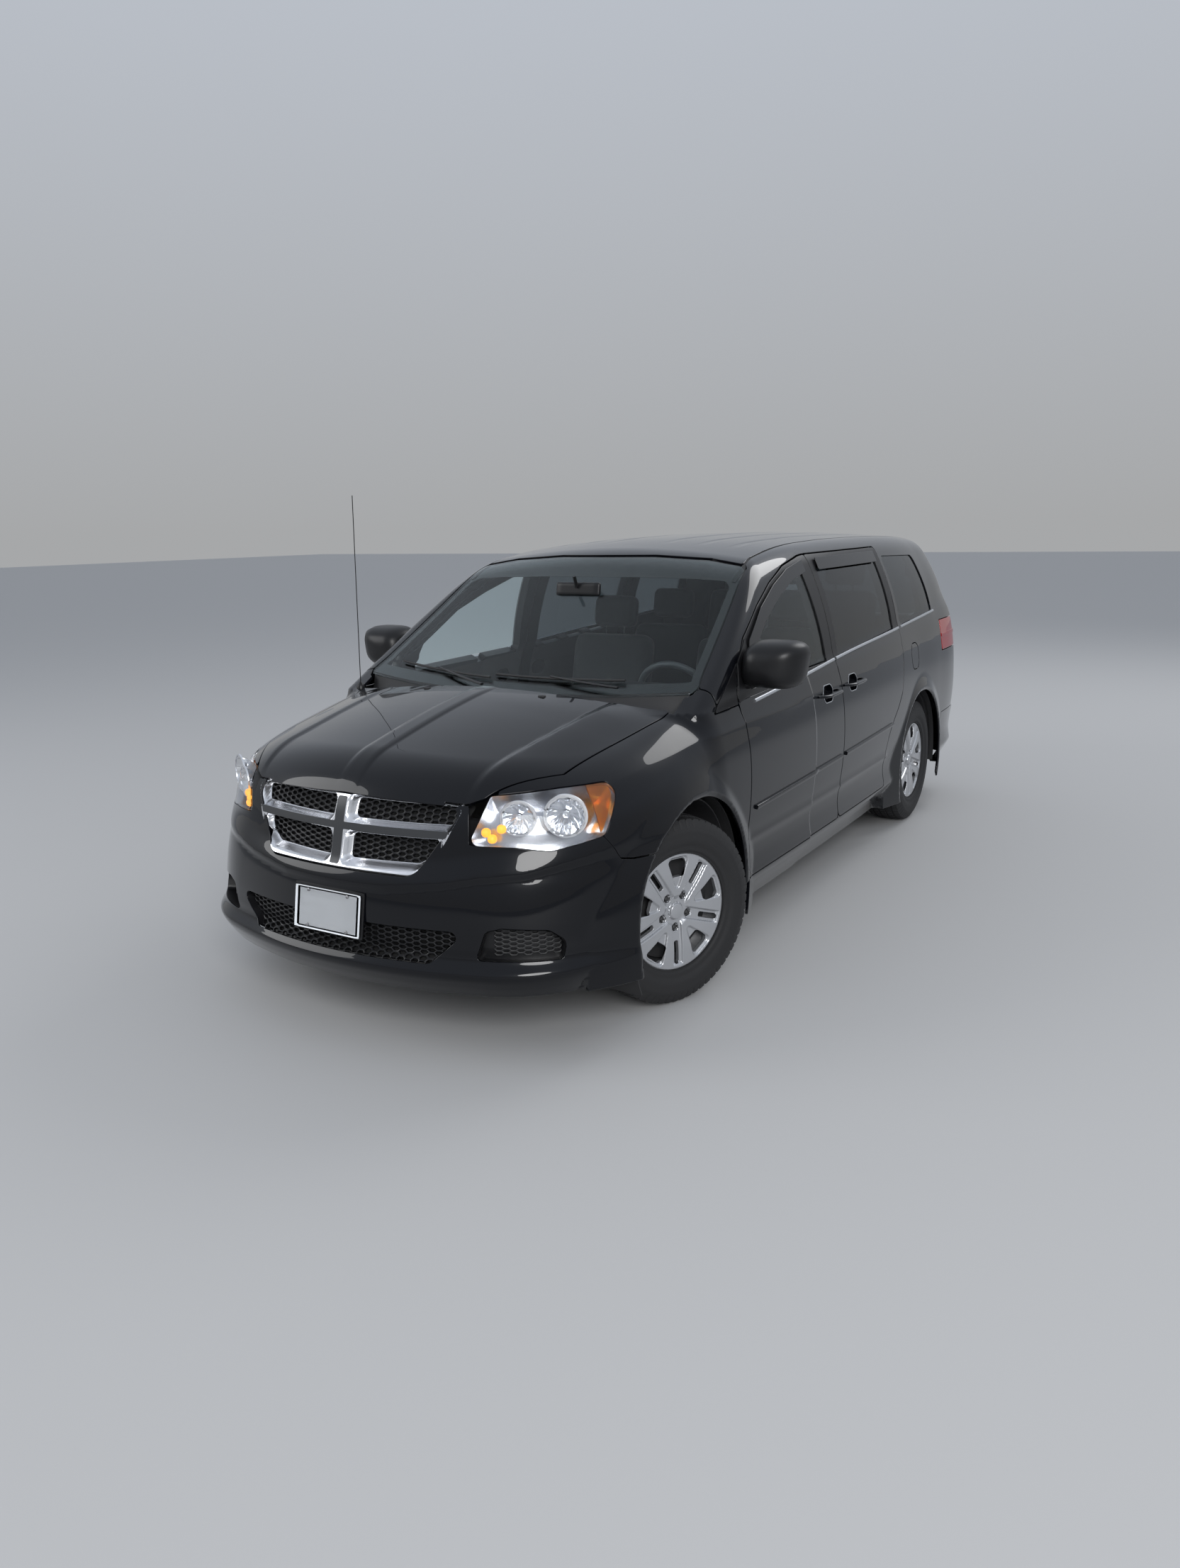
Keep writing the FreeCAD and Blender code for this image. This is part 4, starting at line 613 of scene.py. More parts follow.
structure = roughen(material("seamSealedFloor", (0.022, 0.022, 0.024), 0.6), 90.0, 0.0004, 0.1)
windowGlass = material("windowGlass", (0.86, 0.93, 0.93), 0.0, clear=1.0, index=1.22)
privacyGlass = material("privacyGlass", (0.16, 0.18, 0.19), 0.0, clear=1.0, index=1.35)
lampGlass = material("clearLens", (0.98, 0.99, 1.0), 0.0, clear=1.0, index=1.25)
amberLens = material("amberLens", (1.0, 0.36, 0.03), 0.05, clear=0.85, index=1.45)
redLens = material("redLens", (0.42, 0.004, 0.006), 0.04, clear=0.15, index=1.40, coat=0.6)
reflector = material("lampReflector", (0.86, 0.87, 0.89), 0.08, 1.0)
lampTray = material("lampTray", (0.56, 0.57, 0.60), 0.22, 0.90)
cloth = roughen(material("seatCloth", (0.034, 0.035, 0.037), 0.9, sheen=0.2), 420.0, 0.0006)
trimCloth = roughen(material("greyTrim", (0.070, 0.071, 0.072), 0.85), 500.0, 0.00003, 0.05)
dashTrim = roughen(material("darkDash", (0.022, 0.022, 0.023), 0.6), 600.0, 0.0002, 0.08)
rimGrip = material("steeringGrip", (0.060, 0.066, 0.072), 0.42)
plateWhite = material("blankPlate", (0.80, 0.83, 0.86), 0.32, coat=0.3)
frit = material("blackFrit", (0.004, 0.004, 0.004), 0.12)
castMetal = roughen(material("castMetal", (0.075, 0.072, 0.068), 0.7, 0.4), 80.0, 0.0006, 0.1)

# Outlines seen from the side, (y, z) or (y, z, corner radius)
frontDoorLoop = loopOf([
    (-1.1305, 0.345, 0.03), (-1.1305, 1.0), (-1.1245, 1.05), (-1.105, 1.13), (-1.055, 1.235), (-0.96, 1.315),
    (-0.73, 1.432), (-0.52, 1.517), (-0.30, 1.583), (-0.07, 1.620, 0.02), (0.0125, 1.626, 0.01),
    (0.0125, 0.345, 0.03)])
frontGlassLoop = loopOf([
    (-1.000, 1.112, 0.015), (-0.93, 1.262, 0.02), (-0.72, 1.385), (-0.51, 1.468), (-0.30, 1.532),
    (-0.12, 1.567, 0.02), (-0.085, 1.132, 0.02)])
slideDoorLoop = loopOf([
    (0.0125, 0.345, 0.03), (0.0125, 1.626, 0.01), (1.1045, 1.634, 0.02), (1.106, 1.17), (1.085, 1.0),
    (1.033, 0.833), (0.96, 0.765), (0.891, 0.714), (0.83, 0.66), (0.799, 0.61), (0.775, 0.53), (0.77, 0.465),
    (0.79, 0.345, 0.03)])
slideGlassLoop = loopOf([(0.085, 1.138, 0.02), (0.085, 1.570, 0.03), (1.010, 1.578, 0.04),
                         (1.018, 1.190, 0.03)])
quarterGlassLoop = loopOf([(1.165, 1.196, 0.03), (1.152, 1.580, 0.035), (1.80, 1.566, 0.05),
                           (1.885, 1.230, 0.05)])
fuelLoop = loopOf([(1.27, 0.93, 0.055), (1.27, 1.08, 0.055), (1.42, 1.08, 0.055), (1.42, 0.93, 0.055)])
sailLoop = loopOf([(-1.345, 1.062), (-1.074, 1.230), (-1.112, 1.150), (-1.129, 1.069)])
screenLoop = loopOf([(-0.835, 1.130, 0.03), (-0.806, 1.20), (-0.712, 1.590, 0.05), (-0.52, 1.620),
                     (-0.25, 1.636),
                     (0.25, 1.636), (0.52, 1.620), (0.712, 1.590, 0.05), (0.806, 1.20), (0.835, 1.130, 0.03),
                     (0.45, 1.108), (0.0, 1.100), (-0.45, 1.108)])
tailgateLoop = loopOf([(-0.70, 0.588, 0.06), (0.70, 0.588, 0.06), (0.748, 0.70), (0.748, 1.18),
                       (0.672, 1.600, 0.06),
                       (0.0, 1.648), (-0.672, 1.600, 0.06), (-0.748, 1.18), (-0.748, 0.70)])
backGlassLoop = loopOf([(-0.665, 1.160, 0.06), (0.665, 1.160, 0.06), (0.600, 1.565, 0.06), (0.0, 1.600),
                        (-0.600, 1.565, 0.06)])
handleLoops = [loopOf([(y - 0.072, z, 0.03), (y - 0.045, z + 0.040, 0.03), (y + 0.045, z + 0.040, 0.03),
                       (y + 0.072, z, 0.03), (y + 0.045, z - 0.042, 0.03), (y - 0.045, z - 0.042, 0.03)])
               for y, z in ((-0.185, 0.990), (0.175, 1.000))]

# Outlines seen from the front (x, z), and round the nose as (angle in radians, z)
grilleLoop = loopOf([(-0.475, 0.868, 0.03), (0, 0.884), (0.475, 0.868, 0.03), (0.325, 0.640, 0.07),
                     (-0.325, 0.640, 0.07)])
lowerGrilleLoop = loopOf([(-0.52, 0.465, 0.02), (0.52, 0.465, 0.02), (0.40, 0.356, 0.03),
                          (-0.40, 0.356, 0.03)])
lampLoop = loopOf([(0.588, 0.905, 0.015), (0.512, 0.753, 0.02), (0.66, 0.748), (0.770, 0.732, 0.05),
                   (0.953, 0.762, 0.03), (1.044, 0.922, 0.03), (0.83, 0.918)])
fogLoop = loopOf([(0.532, 0.375, 0.012), (0.562, 0.472, 0.02), (0.610, 0.484, 0.03), (0.750, 0.472, 0.04),
                  (0.802, 0.430, 0.03), (0.790, 0.375, 0.012)])


def noseRun(p):
    # angle round the nose in radians, from the middle line
    return np.arctan2(np.abs(p[..., 0]), -(p[..., 1] + 1.50))


def sideOf(p):
    return p[..., 1], p[..., 2]


def hoodSide(y):
    # half width of the hood's shut line
    return np.interp(y, [-2.40, -2.312, -2.10, -1.45, -1.2], [0.478, 0.545, 0.697, 0.775, 0.80])


def hoodFront(side):
    return np.interp(side, [0, 0.30, 0.478, 0.52, 0.545, 0.75], [0.889, 0.885, 0.877, 0.893, 0.900, 0.90])


def hoodRear(side):
    return -1.557 + 0.107 * (side / 0.775) ** 2


def archRoom(p, axle):
    return np.hypot(p[..., 1] - axle, p[..., 2] - van["hubZ"]) - van["archRadius"]


def least(*fields):
    result = fields[0]
    for field in fields[1:]:
        result = np.minimum(result, field)
    return result


def most(*fields):
    return -least(*[-field for field in fields])


def flatKeep(loop, inset, axes):
    # inside an outline by more than inset; axes are the outline's two directions
    return lambda p: within(loop, p[..., axes[0]], p[..., axes[1]]) - inset


fromSideOn, fromFrontOn = (1, 2), (0, 2)


def insetForm(form, depth):
    return lambda p: form(p) + depth


halfGap = van["gap"] / 2
doorStep = 0.014


# Hood: rays fan out over the nose, so its front lip is part of the sheet
def hoodKeep(p):
    side = np.abs(p[..., 0])
    return least((hoodSide(p[..., 1]) - side) * 0.98, hoodRear(side) - p[..., 1],
                 (p[..., 2] - hoodFront(side)) * 0.9) - halfGap


panel("hoodPanel", places("hood"), skin, overNose, line(-0.80, 0.80, 0.013), line(-0.25, 1.30, 0.013),
      hoodKeep, paint,
      "paint", wall=0.020, lining=satinBlack)


# Fenders, between the hood, the door, the lamp and the bumper joint
def jointHeight(y):
    return np.interp(y, [-2.117, -2.063, -2.02, -1.86], [0.76, 0.672, 0.664, 0.662])


def bumperJoint(p):
    # positive above the joint between fender and bumper
    joint = np.where(p[..., 1] < -2.117, p[..., 2] - 0.88, p[..., 2] - jointHeight(p[..., 1]))
    return np.where(p[..., 1] > van["frontAxleY"], 1.0, joint)


def fenderKeep(p):
    y, z, side = p[..., 1], p[..., 2], np.abs(p[..., 0])
    lamp = -within(lampLoop, noseRun(p), z)
    rear = np.where(z < 1.07, van["doorFrontY"] - y, -1.315 - y)
    screen = -within(screenLoop, p[..., 0], z)
    cowlSide = np.where(y > -1.47, side - 0.790, 1.0)
    return least(side - hoodSide(y), lamp, rear, archRoom(p, van["frontAxleY"]), bumperJoint(p) * 0.9,
                 z - van["sillZ"],
                 -within(sailLoop, y, z), np.where(y > -1.5, screen, 1.0), cowlSide) - halfGap


panel("fender", flanks, skin, overShoulder, line(-2.34, -1.12, 0.012), line(-0.52, 1.15, 0.0125), fenderKeep,
      paint, "paint", wall=0.012, lining=satinBlack)


# Front bumper, round the nose from arch to arch
def bumperKeep(p):
    x, y, z = p[..., 0], p[..., 1], p[..., 2]
    side = np.abs(x)
    run = noseRun(p)
    top = np.where(y < -2.117,
                   np.interp(run, [0.50, 0.512, 0.66, 0.770, 0.953], [0.91, 0.753, 0.748, 0.732, 0.762]),
                   jointHeight(y))
    top = np.where(run < 0.512, 0.90, top)
    grille = -within(grilleLoop, x, z)
    lamp = -within(lampLoop, run, z)
    lower = -within(lowerGrilleLoop, x, z)
    fog = -within(fogLoop, run, z)
    hoodLip = np.where(side > 0.40, hoodFront(side) - z, 1.0)
    return least(top - z, grille, lamp, lower, fog, hoodLip, archRoom(p, van["frontAxleY"]),
                 z - 0.235) - halfGap


panel("frontBumperSkin", onBody, skin, roundNose, line(-1.28, 1.28, 0.011), line(0.225, 0.92, 0.009),
      bumperKeep,
      paint, "paint", wall=0.006, lining=mattBlack)
print("nose panels done")

# Doors
def doorKeep(loop, glass, handle, upper):
    # upper is the satin window frame; the rest is the painted door below the belt
    def keep(p):
        y, z = sideOf(p)
        belt = z - beltHeight(y)
        inner = least(within(loop, y, z) - halfGap, -within(glass, y, z) - halfGap)
        return least(inner, belt + 0.0005) if upper else least(inner, 0.0005 - belt, -within(handle, y, z))
    return keep


doorWall = 0.050
for doorName, body, loop, glass, handle, span in (
        ("frontDoor", "front_door_left", frontDoorLoop, frontGlassLoop, handleLoops[0], (-1.14, 0.02)),
        ("slidingDoor", "root", slideDoorLoop, slideGlassLoop, handleLoops[1], (0.0, 1.12))):
    spots = places(body, True, body.replace("left", "right"))
    panel(doorName, spots, skin, fromSide, line(span[0], span[1], doorStep), line(0.335, 1.20, doorStep),
          doorKeep(loop, glass, handle, False), paint, "paint", wall=doorWall, lining=trimCloth)
    panel(doorName + "Frame", spots, skin, fromSide, line(span[0], span[1], doorStep),
          line(1.05, 1.645, doorStep),
          doorKeep(loop, glass, handle, True), satinBlack, "black_plastic", wall=doorWall, lining=satinBlack)
    panel(doorName + "Cup", spots, skin, fromSide, *over(handle, 0.006),
          flatKeep(handle, -0.001, fromSideOn), paint, "paint", wall=0.026, bucket=True)


# Body side: what is left of the flank, with the rear quarter, the sill and the pillars
def roofSide(y):
    return np.interp(y, [-0.62, -0.45, 0.10, 2.3], [0.700, 0.672, 0.645, 0.640])


def bodySideKeep(p):
    y, z, side = p[..., 1], p[..., 2], np.abs(p[..., 0])
    doors = -most(within(frontDoorLoop, y, z), within(slideDoorLoop, y, z), within(quarterGlassLoop, y, z))
    front = np.where(z < 1.07, y - van["doorFrontY"], y + 1.315)
    rear = -within(tailgateLoop, side, z)
    lampRoom = -least(y - 1.975, z - 0.975, 1.165 - z)
    bumperRoom = most(z - 0.574, 2.03 - y)
    return least(doors, front, np.where(y < 0.0, -within(screenLoop, side, z), 1.0),
                 np.where(y > 1.0, rear, 1.0),
                 lampRoom, bumperRoom, archRoom(p, van["rearAxleY"]), z - 0.19, -within(sailLoop, y, z),
                 np.where(z > 1.45, side - roofSide(y), 1.0), -within(fuelLoop, y, z)) - halfGap


panel("bodySide", flanks, skin, aroundFlank, line(-1.34, 2.53, 0.0135), line(-0.95, 1.25, 0.0175),
      bodySideKeep, paint, "paint", wall=0.012, lining=satinBlack)
for sideName, spots in (("fuelDoor", [at("fuel_door", (0, 0, 0))]),
                        ("fuelBlank", [("", "root", mirrored, noShift)])):
    panel(sideName, spots, skin, fromSide, line(1.25, 1.44, 0.01), line(0.91, 1.10, 0.01),
          flatKeep(fuelLoop, halfGap, fromSideOn), paint, "paint", wall=0.005)
print("flanks done")


# Roof between the ditches
def roofKeep(p):
    side, y, z = np.abs(p[..., 0]), p[..., 1], p[..., 2]
    return least(roofSide(y) - 0.006 - side, -within(screenLoop, side, z), 2.277 - y,
                 z - 1.50) - halfGap


panel("roofPanel", onBody, cabinSkin, fromAbove, line(-0.72, 0.72, 0.0125), line(-0.75, 2.30, 0.0125),
      roofKeep,
      paint, "paint", wall=0.022, lining=trimCloth)
panel("roofDitch", flanks, insetForm(cabinSkin, 0.006), fromAbove, line(0.60, 0.74, 0.004),
      line(-0.70, 2.30,
           0.02), lambda p: 0.010 - np.abs(np.abs(p[..., 0]) - roofSide(p[..., 1]) + 0.003), mattBlack,
      "black_plastic", wall=0.006, roll=0.001)


# Windscreen and the other panes
panel("windscreenPane", onBody, cabinSkin, fromScreen, line(-0.86, 0.86, 0.016), line(1.08, 1.68, 0.012),
      flatKeep(screenLoop, 0.004, fromFrontOn), windowGlass, "glass", wall=0.005, roll=0.001)


for paneName, body, loop, look, span in (
        ("frontPane", "front_door_left", frontGlassLoop, windowGlass, (-1.02, -0.07)),
        ("slidePane", "root", slideGlassLoop, privacyGlass, (0.07, 1.03)),
        ("quarterPane", "root", quarterGlassLoop, privacyGlass, (1.14, 1.90))):
    panel(paneName, places(body, True, body.replace("left", "right")), insetForm(skin, 0.007), fromSide,
          line(span[0], span[1], 0.016), line(1.09, 1.60, 0.016),
          flatKeep(loop, 0.001,
                   fromSideOn), look, "glass" if look is windowGlass else "dark_glass", wall=0.004,
          roll=0.001)
print("roof and glass done")


# Turned, box-like and bar-like pieces
def lathe(profile, count):
    # a closed (along, radius) profile turned about X; gives points and quads
    profile = np.asarray(profile, float)
    turn = np.linspace(0, 2 * math.pi, count, endpoint=False)
    radius, angle = np.meshgrid(profile[:, 1], turn, indexing="ij")
    along = np.broadcast_to(profile[:, :1], radius.shape)
    points = np.stack([along, radius * np.cos(angle), radius * np.sin(angle)], -1).reshape(-1, 3)
    index = np.arange(radius.size).reshape(radius.shape)
    after, beside = np.roll(index, -1, 0), np.roll(index, -1, 1)
    quads = np.stack([index, beside, np.roll(after, -1, 1), after], -1).reshape(-1, 4)
    area = np.sum(profile[:, 0] * np.roll(profile[:, 1], -1) - np.roll(profile[:, 0], -1) * profile[:, 1])
    return points, quads if area < 0 else quads[:, ::-1]


def roundedBox(half, corner, count=12):
    # a block with round edges: each side's grid is pulled in to a smaller block and pushed out by the radius
    half = np.asarray(half, float)
    spread = np.sin(np.linspace(-math.pi / 2, math.pi / 2, count + 1))
    a, b = np.meshgrid(spread, spread, indexing="ij")
    points, quads = [], []
    patch = cellsOf(np.arange(a.size).reshape(a.shape))
    for axis in range(3):
        for sign in (-1.0, 1.0):
            cube = np.stack([np.full_like(a, sign), a, b], -1)
            cube = np.roll(cube, axis, -1).reshape(-1, 3)
            whole = cube * half
            core = np.clip(whole, -(half - corner), half - corner)
            away = whole - core
            away = away / np.maximum(np.linalg.norm(away, axis=1, keepdims=True), 1e-9)
            points.append(core + away * corner)
            quads.append((patch if sign > 0 else patch[:, ::-1]) + len(quads) * a.size)
    return weld(np.concatenate(points), np.concatenate(quads))


def weld(points, quads):
    keys = np.round(points / 1e-6).astype(np.int64)
    _, first, place = np.unique(keys, axis=0, return_index=True, return_inverse=True)
    return points[first], place.ravel()[quads]


def turned(axis, degrees):
    c, s = math.cos(math.radians(degrees)), math.sin(math.radians(degrees))
    return {"x": np.array([[1, 0, 0], [0, c, -s], [0, s, c]]),
            "y": np.array([[c, 0, s], [0, 1, 0], [-s, 0, c]]),
            "z": np.array([[c, -s, 0], [s, c, 0], [0, 0, 1.0]])}[axis]


def block(name, half, corner, where, look, count=12):
    points, quads = roundedBox(half, corner, count)
    return addCopies(name, points, [(quads, 0)], [look], where)


def sweep(path, ring):
    # a closed tube; ring holds the offsets of its outline, one row for each point of the path
    rows, count = ring.shape[:2]
    index = np.arange(rows * count).reshape(rows, count)
    after = np.roll(index, -1, 1)
    quads = np.stack([index[:-1], after[:-1], after[1:], index[1:]], -1).reshape(-1, 4)
    low = np.full(count, rows * count)
    caps = np.concatenate([np.stack([after[0], index[0], low], 1),
                           np.stack([index[-1], after[-1], low + 1], 1)])
    return np.concatenate([(path[:, None] + ring).reshape(-1, 3), path[:1], path[-1:]]), quads, caps


def bar(path, radius, count=12, flat=1.0):
    # a closed tube along a path; flat squeezes its section's second direction
    path = np.asarray(path, float)
    along = np.gradient(path, axis=0)
    along = along / np.linalg.norm(along, axis=1, keepdims=True)
    guide = np.array([0.0, 0.0, 1.0]) if abs(along[:, 2]).mean() < 0.8 else np.array([0.0, 1.0, 0.0])
    first = np.cross(along, guide)
    first = first / np.linalg.norm(first, axis=1, keepdims=True)
    second = np.cross(along, first)
    radius = np.broadcast_to(np.asarray(radius, float), (len(path),))
    turn = np.linspace(0, 2 * math.pi, count, endpoint=False)
    ring = (first[:, None] * np.cos(turn)[None, :, None] + flat * second[:, None] * np.sin(turn)[None, :,
                                                                                                 None])
    return sweep(path, ring * radius[:, None, None])


def addBar(name, path, radius, where, look, count=12, flat=1.0):
    points, quads, caps = bar(path, radius, count, flat)
    return addCopies(name, points, [(quads, 0), (caps, 0)], [look], where)


# Wheels: each is made once about its own hub, outward along +X, then put on its axle
tyre = {"radius": 0.362, "halfWidth": 0.1125, "rimRadius": 0.230, "pitches": 64, "samples": 6,
        "grooveDepth": 0.0075,
        "grooves": (-0.058, -0.020, 0.020, 0.058), "grooveHalf": 0.0045}
cover = {"radius": 0.236, "face": 0.084, "nutRing": 0.0655, "petalRise": 0.011}


def wheelPlaces():
    steer = turned("z", -van["restSteer"])
    rows = []
    for side, ending in ((1, "Left"), (-1, "Right")):
        flip = upright if side > 0 else mirrored
        reach = van["trackFront"] / 2 - van["steerAxisX"]
        pivot = np.array([side * van["steerAxisX"], van["frontAxleY"], van["hubZ"]])
        rows.append(("Front" + ending, "wheel_front_" + ending.lower(), steer @ flip,
                     steer @ np.array([side * reach, 0, 0]) + pivot))
        rows.append(("Rear" + ending, "wheel_rear_" + ending.lower(), flip,
                     np.array([side * van["trackRear"] / 2, van["rearAxleY"], van["hubZ"]])))
    return rows


wheelRows = wheelPlaces()


def makeTyre():
    half, top, rim = tyre["halfWidth"], tyre["radius"], tyre["rimRadius"]
    wall = curveThrough([(rim + 0.001, half - 0.016), (rim + 0.010, half - 0.008),
                         (rim + 0.018, half - 0.009),
                         (rim + 0.040, half - 0.001), (rim + 0.066, half), (rim + 0.092, half - 0.004),
                         (rim + 0.109, half - 0.011), (top - 0.010, half - 0.019)])
    heights = np.linspace(rim + 0.001, top - 0.012, 20)
    side = np.stack([wall(heights), heights], 1)
    # a raised ring and a fine step on the sidewall
    side[:, 0] += 0.0012 * ((heights > rim + 0.072) & (heights < rim + 0.086))
    crown = []
    edges = [half - 0.020]
    for middle in tyre["grooves"][::-1]:
        edges += [middle + tyre["grooveHalf"] + 0.001, middle + tyre["grooveHalf"] - 0.001,
                  middle - tyre["grooveHalf"] + 0.001, middle - tyre["grooveHalf"] - 0.001]
    edges += [-(half - 0.020)]
    for place, a in enumerate(edges):
        deep = place % 4 in (2, 3) and 0 < place < len(edges) - 1
        crown.append((a, top - 0.9 * a * a - (tyre["grooveDepth"] if deep else 0.0)))
    # blocks need points between the grooves, so the slots can cut across them
    full = []
    for (a, b) in zip(crown[:-1], crown[1:]):
        full.append(a)
        if abs(a[0] - b[0]) > 0.012:
            full += [tuple(np.array(a) * (1 - t) + np.array(b) * t) for t in (0.12, 0.5, 0.88)]
    full.append(crown[-1])
    inner = [(-(half - 0.016), rim - 0.004), (half - 0.016, rim - 0.004)]
    profile = np.concatenate([side, full, side[::-1] * [-1, 1], inner])
    count = tyre["pitches"] * tyre["samples"]
    points, quads = lathe(profile, count)
    grid = points.reshape(len(profile), count, 3)
    step = np.arange(count) % tyre["samples"]
    along, radius = profile[:, :1], profile[:, 1:]
    # slots run slantwise across the middle ribs and straight across the shoulders
    slant = np.round(along / 0.02).astype(int)
    shoulder = (np.abs(along) > 0.063) & (radius > top - 0.040)
    middle = (np.abs(along) < 0.054) & (radius > top - 0.004)
    slot = (step[None] == 0) & shoulder
    slot |= ((step[None] + slant) % tyre["samples"] == 0) & middle
    grid *= np.where(slot, (radius - tyre["grooveDepth"] * np.where(shoulder, 0.8, 0.7)) / radius,
                     1.0)[..., None] \
        * np.array([0, 1, 1]) + np.array([1, 0, 0])
    made = addCopies("tyre", grid.reshape(-1, 3), [(quads, 0)], [rubber], wheelRows)
    for piece in made:
        piece.data.set_sharp_from_angle(angle=math.radians(28))


makeTyre()


def makeCover():
    # five raised petals with a recessed window each, and a valley with a slot between each two
    window = loopOf([(-0.024, 0.134, 0.012), (-0.044, 0.204, 0.014), (0.044, 0.204, 0.014),
                     (0.024, 0.134, 0.012)])
    recess = loopOf([(-0.009, 0.090, 0.010), (-0.057, 0.214, 0.018), (0.057, 0.214, 0.018),
                     (0.009, 0.090, 0.010)])
    slot = loopOf([(-0.010, 0.118, 0.007), (-0.011, 0.206, 0.009), (0.011, 0.206, 0.009),
                   (0.010, 0.118, 0.007)])
    nuts = [2 * math.pi * (k + 0.5) / 5 for k in range(5)]

    def turnedIn(p):
        # the point seen from the nearest petal's and the nearest valley's middle line
        radius = np.hypot(p[..., 1], p[..., 2])
        angle = np.arctan2(p[..., 1], p[..., 2])
        near = np.mod(angle + math.pi / 5, 2 * math.pi / 5) - math.pi / 5
        between = np.mod(angle, 2 * math.pi / 5) - math.pi / 5
        return (radius, radius * np.sin(near), radius * np.cos(near), radius * np.sin(between),
                radius * np.cos(between))

    def coverForm(p):
        radius, petalSide, petalRun, valleySide, valleyRun = turnedIn(p)
        petal = ease(np.abs(valleySide), 0.0185, 0.0255) * ease(radius, 0.044, 0.066)
        petal = np.maximum(petal, ease(radius, 0.203, 0.214))
        dip = ease(within(recess, petalSide, petalRun), -0.001, 0.007)
        depth = cover["face"] - 0.010 + 0.008 * ease(radius, 0.05,
                                                     0.17) + cover["petalRise"] * (petal - 0.85 * dip)
        depth = depth + 0.014 * (1 - ease(radius, 0.028,
                                          0.036)) - 0.004 * (radius / 0.034) ** 2 * (radius < 0.034)
        for a in nuts:
            spot = np.hypot(p[..., 1] - cover["nutRing"] * math.sin(a),
                            p[..., 2] - cover["nutRing"] * math.cos(a))
            depth = depth - 0.016 * (1 - ease(spot, 0.0145, 0.0170))
        return p[..., 0] - depth + 0.012 * ease(radius, 0.220, cover["radius"])

    def coverKeep(p):
        radius, petalSide, petalRun, valleySide, valleyRun = turnedIn(p)
        return least(cover["radius"] - radius, -within(window, petalSide, petalRun),
                     -within(slot, valleySide, valleyRun))

    def rays(a, b):
        return stack(0.16, a, b), stack(-1.0, 0 * a, 0.0)

    span = line(-0.24, 0.24, 0.0038)
    panel("wheelCover", wheelRows, coverForm, rays, span, span, coverKeep, coverSilver, "wheel", wall=0.016,
          roll=0.0022)
    nut, quads = lathe([(0.0, 0.0001), (0.0, 0.0105), (0.012, 0.0105), (0.016, 0.007), (0.016, 0.0001)], 6)
    for k, a in enumerate(nuts):
        shift = np.array([cover["face"] - 0.026, cover["nutRing"] * math.sin(a),
                          cover["nutRing"] * math.cos(a)])
        addCopies("wheelNut%d" % k, nut + shift, [(quads, 0)], [darkSteel], wheelRows)
        # a matt black cup round each nut: painted shade in the nut's recess
        well, wellQuads = lathe([(0.0, 0.0001), (0.0, 0.0160), (0.010, 0.0164), (0.010, 0.0156),
                                 (0.002, 0.0150),
                                 (0.002, 0.0001)], 28)
        addCopies("nutShadeCup%d" % k, well + shift, [(wellQuads, 0)], [mattBlack], wheelRows)
    # the steel wheel behind it, with the brake disc
    rim = [(-0.094, 0.238), (-0.094, 0.227), (-0.080, 0.219), (-0.060, 0.205), (0.02, 0.195), (0.050, 0.216),
           (0.072, 0.222), (0.076, 0.234), (0.070, 0.2285), (0.050, 0.2225), (-0.060, 0.2225), (-0.088,
                                                                                                0.2295)]
    points, quads = lathe(rim, 96)
    addCopies("wheelBarrel", points, [(quads, 0)], [steel], wheelRows)
    disc = [(0.036, 0.036), (0.036, 0.085), (0.020, 0.150), (0.024, 0.192), (0.030, 0.192), (0.028, 0.150),
            (0.044, 0.085), (0.044, 0.036)]
    points, quads = lathe(disc, 96)
    addCopies("wheelDisc", points, [(quads, 0)], [darkSteel], wheelRows)


makeCover()
print("wheels done")


# Grille: a chrome funnel and cross, a dark strip of painted shade down the middle of the cross, and honeycomb
# behind
quadLoops = [loopOf([(s * row[0], *row[1:]) for row in rows])
             for s in (1, -1)
             for rows in ([(0.044, 0.866, 0.012), (0.446, 0.861, 0.010), (0.424, 0.806, 0.015),
                           (0.047, 0.803, 0.020)],
                          [(0.044, 0.751, 0.020), (0.402, 0.754, 0.016), (0.374, 0.705),
                           (0.324, 0.675, 0.030),
                           (0.044, 0.668, 0.014)])]
grilleOuter = loopOf([(-0.480, 0.872, 0.02), (0, 0.886), (0.480, 0.872, 0.02), (0.428, 0.748, 0.08),
                      (0.330, 0.640, 0.06), (-0.330, 0.640, 0.06), (-0.428, 0.748, 0.08)])


def grilleForm(p):
    outside = -most(*[within(loop, p[..., 0], p[..., 2]) for loop in quadLoops])
    return skin(p) + 0.034 * (1 - ease(outside, 0.0, 0.022))


def grilleKeep(p):
    return least(within(grilleOuter, p[..., 0], p[..., 2]) - 0.003,
                 -most(*[within(loop, p[..., 0], p[..., 2]) for loop in quadLoops]))


panel("grilleSurround", onBody, grilleForm, fromFront, line(-0.50, 0.50, 0.0062), line(0.62, 0.90, 0.0055),
      grilleKeep, chrome, "bright", wall=0.020, roll=0.0015)


def stripKeep(p):
    return least(within(grilleOuter, p[..., 0], p[..., 2]) - 0.010,
                 most(0.0125 - np.abs(p[..., 2] - 0.779), 0.021 - np.abs(p[..., 0])))


# the dark strip on the cross's middle is painted shade
panel("grilleStrip", onBody, insetForm(skin, -0.0012), fromFront, line(-0.49, 0.49, 0.008),
      line(0.63, 0.89, 0.005), stripKeep, paintedShadeCross, "black_plastic", wall=0.008, roll=0.001)


